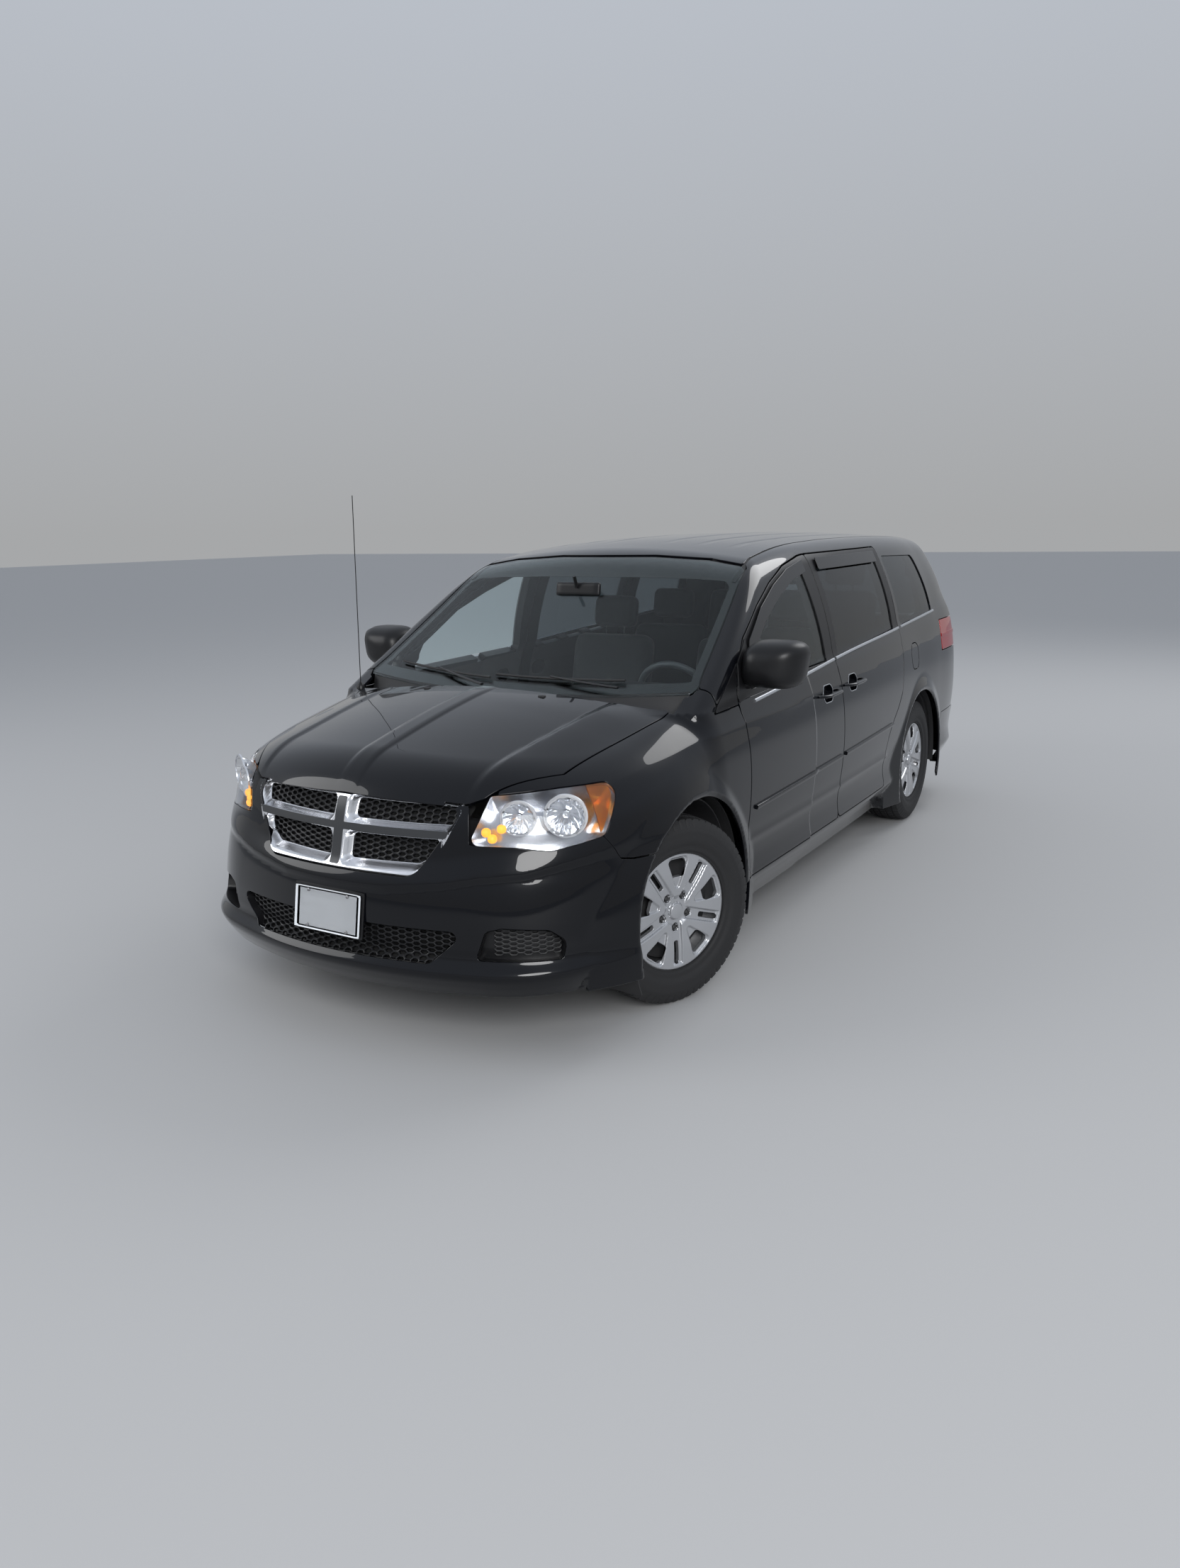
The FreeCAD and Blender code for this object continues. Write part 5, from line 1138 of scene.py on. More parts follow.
def honeycomb(name, where, form, region, rays, low, high, cell, look, web=0.0035, deep=0.010):
    # flat-sided cells, wider than high, as open frames; region(a, b) says where they are kept
    wide, tall = cell
    columns = np.arange(low[0], high[0] + wide, wide * 0.75)
    rows = np.arange(low[1], high[1] + tall, tall)
    a, b = np.meshgrid(columns, rows, indexing="ij")
    b = b + (np.arange(len(columns)) % 2)[:, None] * tall / 2
    a, b = a.ravel(), b.ravel()
    kept = region(a, b) > 0
    a, b = a[kept], b[kept]
    corner = np.array([(-0.5, 0), (-0.25, -0.5), (0.25, -0.5), (0.5, 0), (0.25, 0.5), (-0.25, 0.5)]) * [wide,
                                                                                                        tall]
    shrink = np.array([1 - 2 * web / wide, 1 - 2 * web / tall])
    outer = np.stack([a, b], -1)[:, None] + corner
    inner = np.stack([a, b], -1)[:, None] + corner * shrink
    flat = np.concatenate([outer, inner], 1).reshape(-1, 2)
    start, along = rays(flat[:, 0], flat[:, 1])
    front = meet(form, start, along)
    facing = normalsOf(form, front)
    # the web's front is rounded over by setting the shared edge back a little
    count = len(a)
    front = front.reshape(count, 12, 3)
    facing = facing.reshape(count, 12, 3)
    proud = front + facing * np.r_[np.full(6, 0.0015), np.zeros(6)][None, :, None]
    back = front - facing * deep
    points = np.concatenate([proud, back], 1).reshape(-1, 3)
    base = (np.arange(count) * 24)[:, None]
    near = np.arange(6)
    far = (near + 1) % 6
    sets = []
    for k in range(6):
        m = (k + 1) % 6
        sets.append(base + np.array([k, m, 6 + m, 6 + k]))
        sets.append(base + np.array([6 + k, 6 + m, 18 + m, 18 + k]))
        sets.append(base + np.array([12 + m, 12 + k, 18 + k, 18 + m]))
        sets.append(base + np.array([m, k, 12 + k, 12 + m]))
    return addCopies(name, points, [(np.concatenate(sets), 0)], [look], where)


honeycomb("grilleHoneycomb", onBody, insetForm(skin, 0.036),
          lambda a, b: within(grilleOuter, a, b) - 0.006, fromFront, (-0.48, 0.65), (0.48, 0.87),
          (0.036, 0.0185), satinBlack)
honeycomb("lowerHoneycomb", onBody, insetForm(skin, 0.024),
          lambda a, b: within(lowerGrilleLoop, a, b) + 0.012, fromFront, (-0.53, 0.35), (0.53, 0.475),
          (0.036, 0.0185), satinBlack)
# the sheets behind both honeycombs are painted shade, near-black where the depth behind the grilles is in
# shadow
panel("grilleBack", onBody, insetForm(skin, 0.052), fromFront, line(-0.49, 0.49, 0.03),
      line(0.63, 0.89, 0.02), flatKeep(grilleOuter, 0.0, fromFrontOn), paintedShadeBlack, "black_plastic",
      wall=0.004, roll=0.001)
panel("lowerBack", onBody, insetForm(skin, 0.040), fromFront, line(-0.54, 0.54, 0.03),
      line(0.34, 0.49, 0.015), flatKeep(lowerGrilleLoop, -0.010, fromFrontOn), paintedShadeBlack,
      "black_plastic", wall=0.004, roll=0.001)
panel("lowerGrilleRim", onBody, skin, fromFront, line(-0.54, 0.54, 0.01), line(0.34, 0.49, 0.008),
      flatKeep(lowerGrilleLoop, -0.001, fromFrontOn), satinBlack, "black_plastic", wall=0.045,
      bucket=True)


# Lamp pockets at the bumper's corners, with a small mesh
panel("fogPocket", flanks, skin, roundNose, line(0.48, 0.86, 0.008), line(0.35, 0.51, 0.008),
      lambda p: within(fogLoop, noseRun(p),
                       p[..., 2]) + 0.001, satinBlack, "black_plastic", wall=0.045, bucket=True)
honeycomb("fogMesh", flanks, insetForm(skin, 0.034),
          lambda a, b: within(fogLoop, a, b) - 0.004, roundNose, (0.60, 0.39), (0.82, 0.49), (0.030, 0.0155),
          mattBlack)


def landed(form, rays, u, v, proud=0.0):
    # points on the form, or proud of it along its normal
    start, along = rays(*np.broadcast_arrays(np.asarray(u, float), np.asarray(v, float)))
    spot = meet(form, start, along)
    return spot + normalsOf(form, spot) * np.asarray(proud)[..., None]


def moulding(name, where, form, rays, u, v, half, proud, look, lift=0.0, count=12, square=0.55):
    # a strip along a path on the form: half wide each way, and as far proud as sunk
    path = landed(form, rays, u, v, lift)
    out = normalsOf(form, path)
    along = np.gradient(path, axis=0)
    across = np.cross(along / np.linalg.norm(along, axis=1, keepdims=True), out)
    turn = np.linspace(0, 2 * math.pi, count, endpoint=False) + math.pi / count
    wide = np.sign(np.cos(turn)) * np.abs(np.cos(turn)) ** square
    high = np.sign(np.sin(turn)) * np.abs(np.sin(turn)) ** square
    half = np.broadcast_to(np.asarray(half, float), (len(path),))[:, None, None]
    points, quads, caps = sweep(path, across[:, None] * half * wide[None, :, None]
                                + out[:, None] * proud * high[None, :, None])
    centre = points[:-2].reshape(len(path), count, 3).mean(1).repeat(count, 0)
    middle = points[quads].mean(1)
    facing = np.cross(points[quads[:, 1]] - points[quads[:, 0]], points[quads[:, 2]] - points[quads[:, 0]])
    if (facing * (middle - centre[:len(middle)])).sum() < 0:
        quads, caps = quads[:, ::-1], caps[:, ::-1]
    return addCopies(name, points, [(quads, 0), (caps, 0)], [look], where)


# Strips along the flank
beltLine = curveThrough([(-1.0, 1.062), (-0.25, 1.1105), (0.0, 1.1285), (1.06, 1.185), (1.88, 1.228)])
rubLine = curveThrough([(-1.06, 0.641), (-0.08, 0.663), (0.84, 0.683)])
bright = material("beltSilver", (0.60, 0.62, 0.65), 0.28, 0.9)
for stripName, spots, curve, span, half, proud, look, slot in (
        ("beltFront", doors, beltLine, (-0.985, -0.004), 0.0075, 0.0075, bright, "bright"),
        ("beltSlide", flanks, beltLine, (0.020, 1.095), 0.0075, 0.0075, bright, "bright"),
        ("beltRear", flanks, beltLine, (1.135, 1.885), 0.0075, 0.0075, bright, "bright"),
        ("rubFront", doors, rubLine, (-1.075, -0.020), 0.0095, 0.011, paint, "paint"),
        ("rubSlide", flanks, rubLine, (0.040, 0.842), 0.0095, 0.011, paint, "paint")):
    run = line(span[0], span[1], 0.025)
    moulding(stripName, spots, skin, fromSide, run, curve(run), half, proud, look)

# Black window surrounds: the sails before the doors' glass and the rain guards over it
rainGuard = material("rainGuard", (0.012, 0.012, 0.013), 0.12)
doorSail = loopOf([(-1.074, 1.226), (-0.945, 1.318), (-0.985, 1.095), (-1.118, 1.072)])
guardFront = loopOf([(-1.01, 1.185), (-0.93, 1.305), (-0.72, 1.425), (-0.51, 1.508), (-0.30, 1.570),
                     (-0.088, 1.604),
                     (-0.090, 1.548), (-0.30, 1.512), (-0.51, 1.447), (-0.72, 1.362), (-0.905, 1.255),
                     (-0.985, 1.16)])
guardSlide = loopOf([(0.088, 1.608), (1.012, 1.615), (1.012, 1.556), (0.085, 1.550)])
for sheetName, spots, loop, lift, wall, look in (
        ("bodySail", flanks, sailLoop, 0.001, 0.006, satinBlack),
        ("doorSail", doors, doorSail, 0.004, 0.006, satinBlack),
        ("rainGuardFront", doors, guardFront, 0.013, 0.004, rainGuard),
        ("rainGuardSlide", flanks, guardSlide, 0.013, 0.004, rainGuard)):
    panel(sheetName, spots, insetForm(skin, -lift), fromSide, *over(loop, 0.009),
          flatKeep(loop, 0.0005, fromSideOn), look,
          "black_plastic", wall=wall, roll=0.0015)

# Handles: a pull across each round recess
for handleName, spots, (y, z) in (("handleFront", doors, (-0.185, 0.990)),
                                  ("handleSlide", flanks, (0.175, 1.000))):
    share = np.linspace(-1, 1, 17)
    path = landed(skin, fromSide, y + 0.125 * share, z + 0.002 * share) + stack(
        0.038 * (1 - np.abs(share) ** 6) - 0.002, 0 * share, 0.0)
    addBar(handleName, path, 0.0135 - 0.003 * np.abs(share) ** 3, spots, paint, count=14, flat=0.62)
    loop = handleLoops[0 if handleName == "handleFront" else 1]
    rim = loop * 0.995 + loop.mean(0) * 0.005
    rim = np.concatenate([rim, rim[:2]])
    moulding(handleName + "Ring", spots, skin, fromSide, rim[:, 0], rim[:, 1], 0.0022, 0.0016, bright,
             count=6)

# Mirrors: a housing on an arm, with its glass behind
mirrorRows = np.array([(-1.095, 0.22), (-1.088, 0.52), (-1.070, 0.74), (-1.035, 0.91), (-0.985, 1.0),
                       (-0.935, 1.0),
                       (-0.926, 0.985), (-0.926, 0.93), (-0.938, 0.90)])
turn = np.linspace(0, 2 * math.pi, 40, endpoint=False)
mirrorX = np.sign(np.cos(turn)) * np.abs(np.cos(turn)) ** 0.55 * 0.128
mirrorZ = np.sign(np.sin(turn)) * np.abs(np.sin(turn)) ** 0.55 * 0.098
mirrorX = mirrorX + 0.014 * mirrorZ / 0.098
centres = np.stack([1.005 - 0.15 * (1 - mirrorRows[:, 1]) * 0.2, mirrorRows[:, 0],
                    np.full(len(mirrorRows), 1.216)], 1)
section = np.stack([mirrorX, 0 * mirrorX, mirrorZ], 1)
points, quads, caps = sweep(centres, mirrorRows[:, 1][:, None, None] * section)
addCopies("mirrorShell", points, [(quads, 0), (caps, 0)], [satinBlack], doors)
mirrorGlass = material("mirrorGlass", (0.75, 0.77, 0.80), 0.04, 1.0)
glassCentres = centres[-2:] + [[0, 0.001, 0], [0, 0.004, 0]]
points, quads, caps = sweep(glassCentres, np.stack([0.93 * section] * 2))
addCopies("mirrorGlass", points, [(quads, 0), (caps, 0)], [mirrorGlass], doors)
addBar("mirrorArm", [(0.86, -1.015, 1.125), (0.905, -1.010, 1.135), (0.945, -1.005, 1.150),
                     (0.975, -1.0, 1.175)],
       [0.034, 0.032, 0.030, 0.030], doors, satinBlack, count=16, flat=0.62)
print("flank trim done")


# Headlamps: a bowl sunk in the skin, two reflectors, an amber corner and a clear lens
def lampKeep(inset):
    return lambda p: within(lampLoop, noseRun(p), p[..., 2]) - inset


lampSpan = (line(0.50, 1.06, 0.010), line(0.72, 0.93, 0.010))
panel("lampBowl", flanks, skin, roundNose, *lampSpan, lampKeep(-0.0015), lampTray, "lamp_bowl", wall=0.080,
      bucket=True)
panel("lampLens", flanks, skin, roundNose, *lampSpan, lampKeep(0.0015), lampGlass, "lamp_lens", wall=0.003,
      roll=0.0015)
# fluted bowls: the radius beats with the angle
bowlProfile = [(0.0, 0.004), (0.003, 0.016), (0.010, 0.030), (0.024, 0.045), (0.044, 0.058), (0.049, 0.060),
               (0.050, 0.0655), (0.044, 0.0675), (0.020, 0.052), (-0.004, 0.030), (-0.008, 0.004)]
# painted glow: the amber turn bulbs emit light though the lamps are off, for an amber glint inside the
# headlamps
paintedBulbGlow = material("paintedBulbGlow", (1.0, 0.42, 0.05), 0.3, glow=1.1)
bulbs = lathe([(0.002, 0.0001), (0.006, 0.008), (0.020, 0.0125), (0.030, 0.0115), (0.036, 0.006),
               (0.037, 0.0001)], 20)
for lampName, (x, y, z), size in (("outerReflector", (0.742, -2.160, 0.838), 1.02),
                                  ("innerReflector", (0.620, -2.262, 0.836), 0.84)):
    points, faces = lathe([(a * size, r * size) for a, r in bowlProfile], 72)
    wave = 1 + 0.035 * (np.arange(len(points)) // 3 % 2) * (np.hypot(points[:, 1], points[:, 2]) > 0.012)
    points = points * np.stack([np.ones(len(points)), wave, wave], 1)
    facing = turned("z", -62)
    made = addCopies(lampName, points @ facing.T, [(faces, 0)], [reflector],
                     bothAt("root", (x, y, z)))
    for piece in made:
        piece.data.set_sharp_from_angle(angle=math.radians(20))
    addCopies(lampName + "Bulb", bulbs[0] @ facing.T * size, [(bulbs[1], 0)], [chrome],
              bothAt("root", (x, y, z)))
    ringPoints, ringFaces = lathe([(0.046 * size, 0.067 * size), (0.046 * size, 0.074 * size),
                                   (0.052 * size, 0.073 * size), (0.053 * size, 0.0665 * size)], 56)
    addCopies(lampName + "Ring", ringPoints @ facing.T, [(ringFaces, 0)], [chrome],
              bothAt("root", (x, y, z)))
# turn bulbs with the painted amber glow
for k, spot in enumerate(((0.548, -2.355, 0.790), (0.590, -2.325, 0.800), (0.565, -2.345, 0.768))):
    block("turnBulb" + str(k), (0.016, 0.016, 0.016), 0.0155, bothAt("root", spot), paintedBulbGlow,
          count=6)
panel("lampAmber", flanks, insetForm(skin, 0.012), roundNose, line(0.86, 1.05, 0.008),
      line(0.74, 0.93, 0.008),
      lambda p: least(within(lampLoop, noseRun(p), p[..., 2]) - 0.006,
                      noseRun(p) - 0.930 - 0.12 * (0.90 - p[..., 2])),
      amberLens, "lamp_lens", wall=0.006, roll=0.001)
print("headlamps done")


# Plate, with four screws and a backing
plateTurn = turned("x", -9)
block("frontPlate", (0.152, 0.0012, 0.076), 0.006, [at("root", (-0.006, -2.548, 0.487), plateTurn)],
      plateWhite,
      count=6)
block("plateBack", (0.160, 0.006, 0.083), 0.006, [at("root", (-0.006, -2.539, 0.487), plateTurn)],
      satinBlack,
      count=6)
points, faces = lathe([(0.0, 0.0), (0.0028, 0.0), (0.0026, 0.004), (0.001, 0.0062), (-0.002, 0.0062),
                       (-0.002, 0.0)], 16)
for k, (x, z) in enumerate(((-0.09, 0.062), (0.09, 0.062), (-0.09, -0.062), (0.09, -0.062))):
    spot = np.array([-0.006, -2.5495, 0.487]) + plateTurn @ np.array([x, 0.0, z])
    addCopies("plateScrew" + str(k), points @ turned("z", -90).T, [(faces, 0)], [steel],
              [at("root", spot, plateTurn)])


# Cowl between the hood and the windscreen: a ruled sheet with a wall, then wipers and nozzles
def ruled(name, first, second, where, look, rows=6, wall=0.006, sag=0.0):
    share = np.linspace(0, 1, rows)[None, :, None]
    top = first[:, None] * (1 - share) + second[:, None] * share
    top[..., 2] -= sag * np.sin(np.pi * share[..., 0])
    low = top - [0.0, 0.0, wall]
    count = top.shape[0] * rows
    index = np.arange(count).reshape(top.shape[:2])
    cells = cellsOf(index)
    ring = np.concatenate([index[:-1, 0], index[-1, :-1], index[:0:-1, -1], index[0, :0:-1]])
    after = np.roll(ring, -1)
    sides = np.stack([ring, ring + count, after + count, after], 1)
    points = np.concatenate([top.reshape(-1, 3), low.reshape(-1, 3)])
    return addCopies(name, points, [(cells, 0), (cells[:, ::-1] + count, 0), (sides, 0)], [look],
                     where)


across = np.linspace(-0.80, 0.80, 41)
screenFoot = landed(cabinSkin, fromScreen, across, 1.112 + 0.028 * (across / 0.8) ** 2)
hoodFoot = stack(across, np.interp(np.abs(across), [0, 0.4, 0.68, 0.8], [-1.565, -1.535, -1.44, -1.36]),
                 np.interp(np.abs(across), [0, 0.5, 0.72, 0.8], [1.062, 1.060, 1.055, 1.060]))
ruled("cowlPanel", hoodFoot, screenFoot, onBody, mattBlack, sag=0.012)
for k, (x, reach, lean) in enumerate(((0.52, 0.60, -7.0), (-0.10, 0.56, -5.0))):
    share = np.linspace(0, 1, 15)
    blade = landed(cabinSkin, fromScreen, x - reach * share,
                   1.150 + 0.012 * share + 0.03 * ((x - reach * share) / 0.8) ** 2,
                   0.010)
    addBar("wiperBlade" + str(k), blade, 0.0055, onBody, mattBlack, count=8)
    arm = landed(cabinSkin, fromScreen, x - reach * 0.55 * share, 1.118 + 0.042 * share
                 + 0.03 * ((x - reach * 0.55 * share) / 0.8) ** 2, 0.022 - 0.006 * share)
    addBar("wiperArm" + str(k), arm, 0.009 - 0.003 * share, onBody, satinBlack, count=10,
           flat=0.6)
nozzle = landed(skin, fromAbove, [0.285], [-1.600])[0]
block("washer", (0.014, 0.010, 0.0055), 0.004, bothAt("hood", nozzle), mattBlack, count=6)

# Aerial on the right fender
foot = landed(skin, fromAbove, [-0.800], [-1.440])[0]
points, faces = lathe([(-0.012, 0.0), (-0.012, 0.019), (0.004, 0.018), (0.014, 0.010), (0.020, 0.0055),
                       (0.026, 0.0)], 20)
addCopies("aerialFoot", points @ turned("y", -90).T, [(faces, 0)], [satinBlack],
          [at("root", foot)])
mast = foot + np.linspace(0, 1, 9)[:, None] * np.array([0.0, 0.020, 0.838])
addBar("aerialMast", mast, 0.0019, onBody, satinBlack, count=8)

# Screen border: a dark printed edge under the glass, and a tinted band along its top
panel("screenBorder", onBody, insetForm(cabinSkin, 0.0090), fromScreen, line(-0.86, 0.86, 0.012),
      line(1.08, 1.66, 0.010), lambda p: least(within(screenLoop, p[..., 0], p[..., 2]) - 0.003,
                                               0.040 - within(screenLoop, p[..., 0], p[..., 2])
                                               + 0.075 * ease(p[..., 2], 1.50, 1.57)), frit, "black_plastic",
      wall=0.0012, roll=0.0004)
print("front trim done")


# Tailgate: a painted shell, its glass, the plate recess with a grip over it, a wiper and a high lamp
plateRecess = loopOf([(-0.23, 0.800, 0.03), (0.23, 0.800, 0.03), (0.24, 0.975, 0.03), (-0.24, 0.975, 0.03)])
tailRows = (line(-0.77, 0.77, 0.014), line(0.57, 1.68, 0.014))
panel("tailgatePanel", onTailgate, skin, fromBehind, *tailRows,
      lambda p: least(within(tailgateLoop, p[..., 0], p[..., 2]),
                      -within(backGlassLoop, p[..., 0], p[..., 2]),
                      -within(plateRecess, p[..., 0], p[..., 2])) - halfGap,
      paint, "paint", wall=0.045, lining=trimCloth)
panel("tailgateRecess", onTailgate, skin, fromBehind, line(-0.25, 0.25, 0.012), line(0.79, 0.99, 0.010),
      flatKeep(plateRecess, -halfGap, fromFrontOn), paint, "paint", wall=0.030, bucket=True)
panel("tailgatePane", onTailgate, insetForm(skin, 0.004), fromBehind, line(-0.68, 0.68, 0.016),
      line(1.15, 1.61, 0.014), flatKeep(backGlassLoop, 0.001,
                                        fromFrontOn), privacyGlass, "dark_glass", wall=0.004,
      roll=0.001)
share = np.linspace(-1, 1, 21)
grip = landed(skin, fromBehind, 0.27 * share, 0.988 + 0 * share, 0.010 - 0.006 * np.abs(share) ** 4)
addBar("tailgateGrip", grip, 0.020 - 0.008 * np.abs(share) ** 4, onTailgate, paint, count=16,
       flat=0.6)
sweepOut = landed(skin, fromBehind, 0.02 + 0.42 * np.linspace(0, 1, 15),
                  1.205 + 0.05 * np.linspace(0, 1, 15), 0.012)
addBar("rearBlade", sweepOut, 0.006, onTailgate, mattBlack, count=8)
addBar("rearWiperArm", [(0.0, 2.462, 1.186), (0.05, 2.474, 1.192), (0.20, 2.462, 1.214)],
       [0.016, 0.011, 0.006],
       onTailgate, satinBlack, count=10)
high = landed(skin, fromBehind, 0.15 * share, 1.626 + 0 * share, 0.002)
addBar("highLamp", high, 0.0075, onTailgate, redLens, count=10)
moulding("tailgateStrip", onTailgate, skin, fromBehind, 0.62 * share, 1.075 + 0 * share, 0.010, 0.007,
         bright)


# Tail lamps wrap the corner between the flank and the tailgate
def tailLampKeep(p):
    side, y, z = np.abs(p[..., 0]), p[..., 1], p[..., 2]
    return least(y - 1.975 - 0.10 * np.abs(z - 1.07), z - 0.975, 1.165 - z,
                 -within(tailgateLoop, side, z)) - halfGap


# the lens's near-black lining is painted shade for the lamp's dark inside
panel("tailLamp", flanks, skin, roundTail, line(0.35, 1.52, 0.012), line(0.96, 1.18, 0.010), tailLampKeep,
      redLens,
      "red_lens", wall=0.012, roll=0.004, lining=paintedShadeBlack)
panel("tailLampRib", flanks, insetForm(skin, -0.0035), roundTail, line(0.35, 1.52, 0.012),
      line(1.055, 1.085, 0.004),
      lambda p: least(tailLampKeep(p) - 0.006,
                      0.011 - np.abs(p[..., 2] - 1.07)), redLens, "red_lens", wall=0.004,
      roll=0.001)
# a near-black sheet behind the lenses: painted shade for the lamp's depth
panel("tailLampBack", flanks, insetForm(skin, 0.020), roundTail, line(0.35, 1.56, 0.03),
      line(0.95, 1.19, 0.03),
      lambda p: least(p[..., 1] - 1.95, p[..., 2] - 0.955, 1.185 - p[..., 2],
                      np.abs(p[..., 0]) - 0.70), paintedShadeBlack,
      "black_plastic", wall=0.004, roll=0.001)


# Rear bumper, with a step pad on top and two reflectors
def rearBumperKeep(p):
    y, z = p[..., 1], p[..., 2]
    return least(0.5755 - z, y - 2.03 + halfGap, archRoom(p, van["rearAxleY"]), z - 0.235) - halfGap


bumperRows = np.concatenate([line(0.225, 0.553, 0.013), line(0.556, 0.5755, 0.0015)])
panel("rearBumperSkin", onBody, skin, roundTail, line(-1.60, 1.60, 0.016), bumperRows, rearBumperKeep, paint,
      "paint", wall=0.010, lining=satinBlack)
block("stepPad", (0.42, 0.030, 0.004), 0.003, [at("root", (0.0, 2.515, 0.5755))], mattBlack,
      count=6)
reflectorSpot = landed(skin, roundTail, [0.66], [0.42], 0.0)[0]
out = normalsOf(skin, reflectorSpot[None])[0]
block("rearReflector", (0.045, 0.005, 0.018), 0.004,
      bothAt("root", reflectorSpot,
             turned("z", -math.degrees(math.atan2(out[0], out[1])))), redLens,
      count=8)
print("rear done")


# Inner side frame behind the door gaps and dark wells over the wheels
def frameKeep(p):
    y, z = p[..., 1], p[..., 2]
    opening = most(*[within(loop, y, z) for loop in (frontGlassLoop, slideGlassLoop, quarterGlassLoop)])
    doorway = most(within(frontDoorLoop, y, z), within(slideDoorLoop, y, z)) - 0.050
    front = np.where(y < 0.0, -within(screenLoop, np.abs(p[..., 0]) + 0.05, z), 1.0)
    hinge = np.where(z < 1.13, y + 0.97, y + 1.12)
    return least(-opening, -doorway, z - 0.30, hinge, np.abs(p[..., 0]) - 0.60, front,
                 np.hypot(y - van["rearAxleY"], z - van["hubZ"]) - 0.43)


panel("innerFrame", flanks, insetForm(skin, 0.062), fromSide, line(-1.14, 2.30, 0.02),
      line(0.28, 1.64, 0.02),
      frameKeep, satinBlack, "structure", wall=0.006, roll=0.001)
for wellName, axle, centreX, width, start in (("frontWell", van["frontAxleY"], 0.735, 0.40, -28.0),
                                              ("rearWell", van["rearAxleY"], 0.765, 0.34, -10.0)):
    profile = [(-width / 2, 0.432), (width / 2, 0.432), (width / 2, 0.438), (-width / 2, 0.438)]
    if wellName == "rearWell":
        profile = [(-width / 2, 0.10), (-width / 2, 0.432), (width / 2, 0.432), (width / 2, 0.438),
                   (-width / 2 - 0.006, 0.438), (-width / 2 - 0.006, 0.10)]
    turnCount = 49
    angle = np.radians(np.linspace(start, 180 - start, turnCount))
    ring = np.array(profile)
    around = np.stack([np.broadcast_to(ring[:, 0], (turnCount, len(ring))),
                       np.cos(angle)[:, None] * ring[:, 1], np.sin(angle)[:, None] * ring[:, 1]], -1)
    points, quads, caps = sweep(np.zeros((turnCount, 3)), around)
    addCopies(wellName, points[:-2], [(quads[:, ::-1], 0)], [mattBlack],
              bothAt("root", (centreX, axle, van["hubZ"])))
print("wells done")


# Inside: dashboard, wheel, seats and mirror
def joined(shells):
    points, faces, count = [], [], 0
    for shellPoints, shellFaces in shells:
        points.append(shellPoints)
        faces.append(shellFaces + count)
        count += len(shellPoints)
    return np.concatenate(points), np.concatenate(faces)


dashLoop = loopOf([(-1.235, 0.66), (-1.235, 1.030, 0.02), (-1.05, 1.064, 0.12), (-0.835, 1.030, 0.05),
                   (-0.800, 0.900, 0.05), (-0.845, 0.640, 0.04), (-1.00, 0.560, 0.03)])
dashX = np.array([-0.735, -0.730, -0.60, -0.20, 0.0, 0.20, 0.60, 0.730, 0.735])
shrink = np.array([0.96, 1.0, 1.0, 1.0, 1.0, 1.0, 1.0, 1.0, 0.96])[:, None, None]
middle = np.array([0.0, -1.02, 0.84])
ringDash = np.concatenate([np.zeros((len(dashLoop), 1)), dashLoop - middle[1:]], 1)
points, quads, caps = sweep(stack(dashX, middle[1], middle[2]), ringDash * shrink)
addCopies("dashBody", points, [(quads[:, ::-1], 0), (caps[:, ::-1], 0)], [dashTrim], onBody)
block("dashHood", (0.20, 0.085, 0.030), 0.026, [at("root", (0.375, -0.90, 1.052), turned("x", 8))], dashTrim)
block("dashStack", (0.115, 0.035, 0.150), 0.02, [at("root", (0.0, -0.80, 0.88), turned("x", -10))],
      satinBlack)
for k, x in enumerate((-0.64, -0.19, 0.19, 0.66)):
    block("dashVent" + str(k), (0.045, 0.012, 0.028), 0.010, [at("root", (x, -0.806, 0.975))], mattBlack,
          count=8)
block("consoleBox", (0.12, 0.24, 0.16), 0.03, [at("root", (0.0, -0.93, 0.42))], dashTrim)
lean = math.degrees(math.atan2(0.436, 0.9))
rimLoop = np.stack([0.016 * np.cos(turn[::3]), 0.186 + 0.016 * np.sin(turn[::3])], 1)
wheelTurn = turned("x", lean) @ turned("z", 90)
rimShell = lathe(rimLoop, 56)
bossShell = roundedBox((0.026, 0.072, 0.062), 0.024, 10)
spokeShells = []
for x, z, wide, tall in ((0.118, 0.012, 0.060, 0.017), (-0.118, 0.012, 0.060, 0.017),
                         (0.0, -0.118, 0.017, 0.060)):
    spokePoints, spokeQuads = roundedBox((0.008, wide, tall), 0.007, 6)
    spokeShells.append((spokePoints + [0.0, x, z], spokeQuads))
points, quads = joined([rimShell, bossShell] + spokeShells)
addCopies("steeringWheel", points, [(quads, 0)], [rimGrip],
          [("", "steering_wheel", wheelTurn, np.array([0.375, -0.6005, 0.985]))])
addBar("steeringColumn", [(0.375, -0.96, 0.811), (0.375, -0.63, 0.971)], 0.034, onBody, dashTrim,
       count=16)


def seatAt(x, front, top, wide, rests):
    shells = []
    for half, corner, spot, tilt in (((wide / 2, 0.255, 0.070), 0.055, (x, front + 0.25, top - 0.065), 4),
                                     ((wide / 2 - 0.015, 0.068, 0.315), 0.058,
                                      (x, front + 0.60, top + 0.245), -13)):
        points, quads = roundedBox(half, corner, 14)
        shells.append((points @ turned("x", tilt).T + spot, quads))
    for restX in rests:
        points, quads = roundedBox((0.125, 0.048, 0.085), 0.04, 12)
        shells.append((points @ turned("x", -10).T + [x + restX, front + 0.685, top + 0.675], quads))
    return joined(shells)


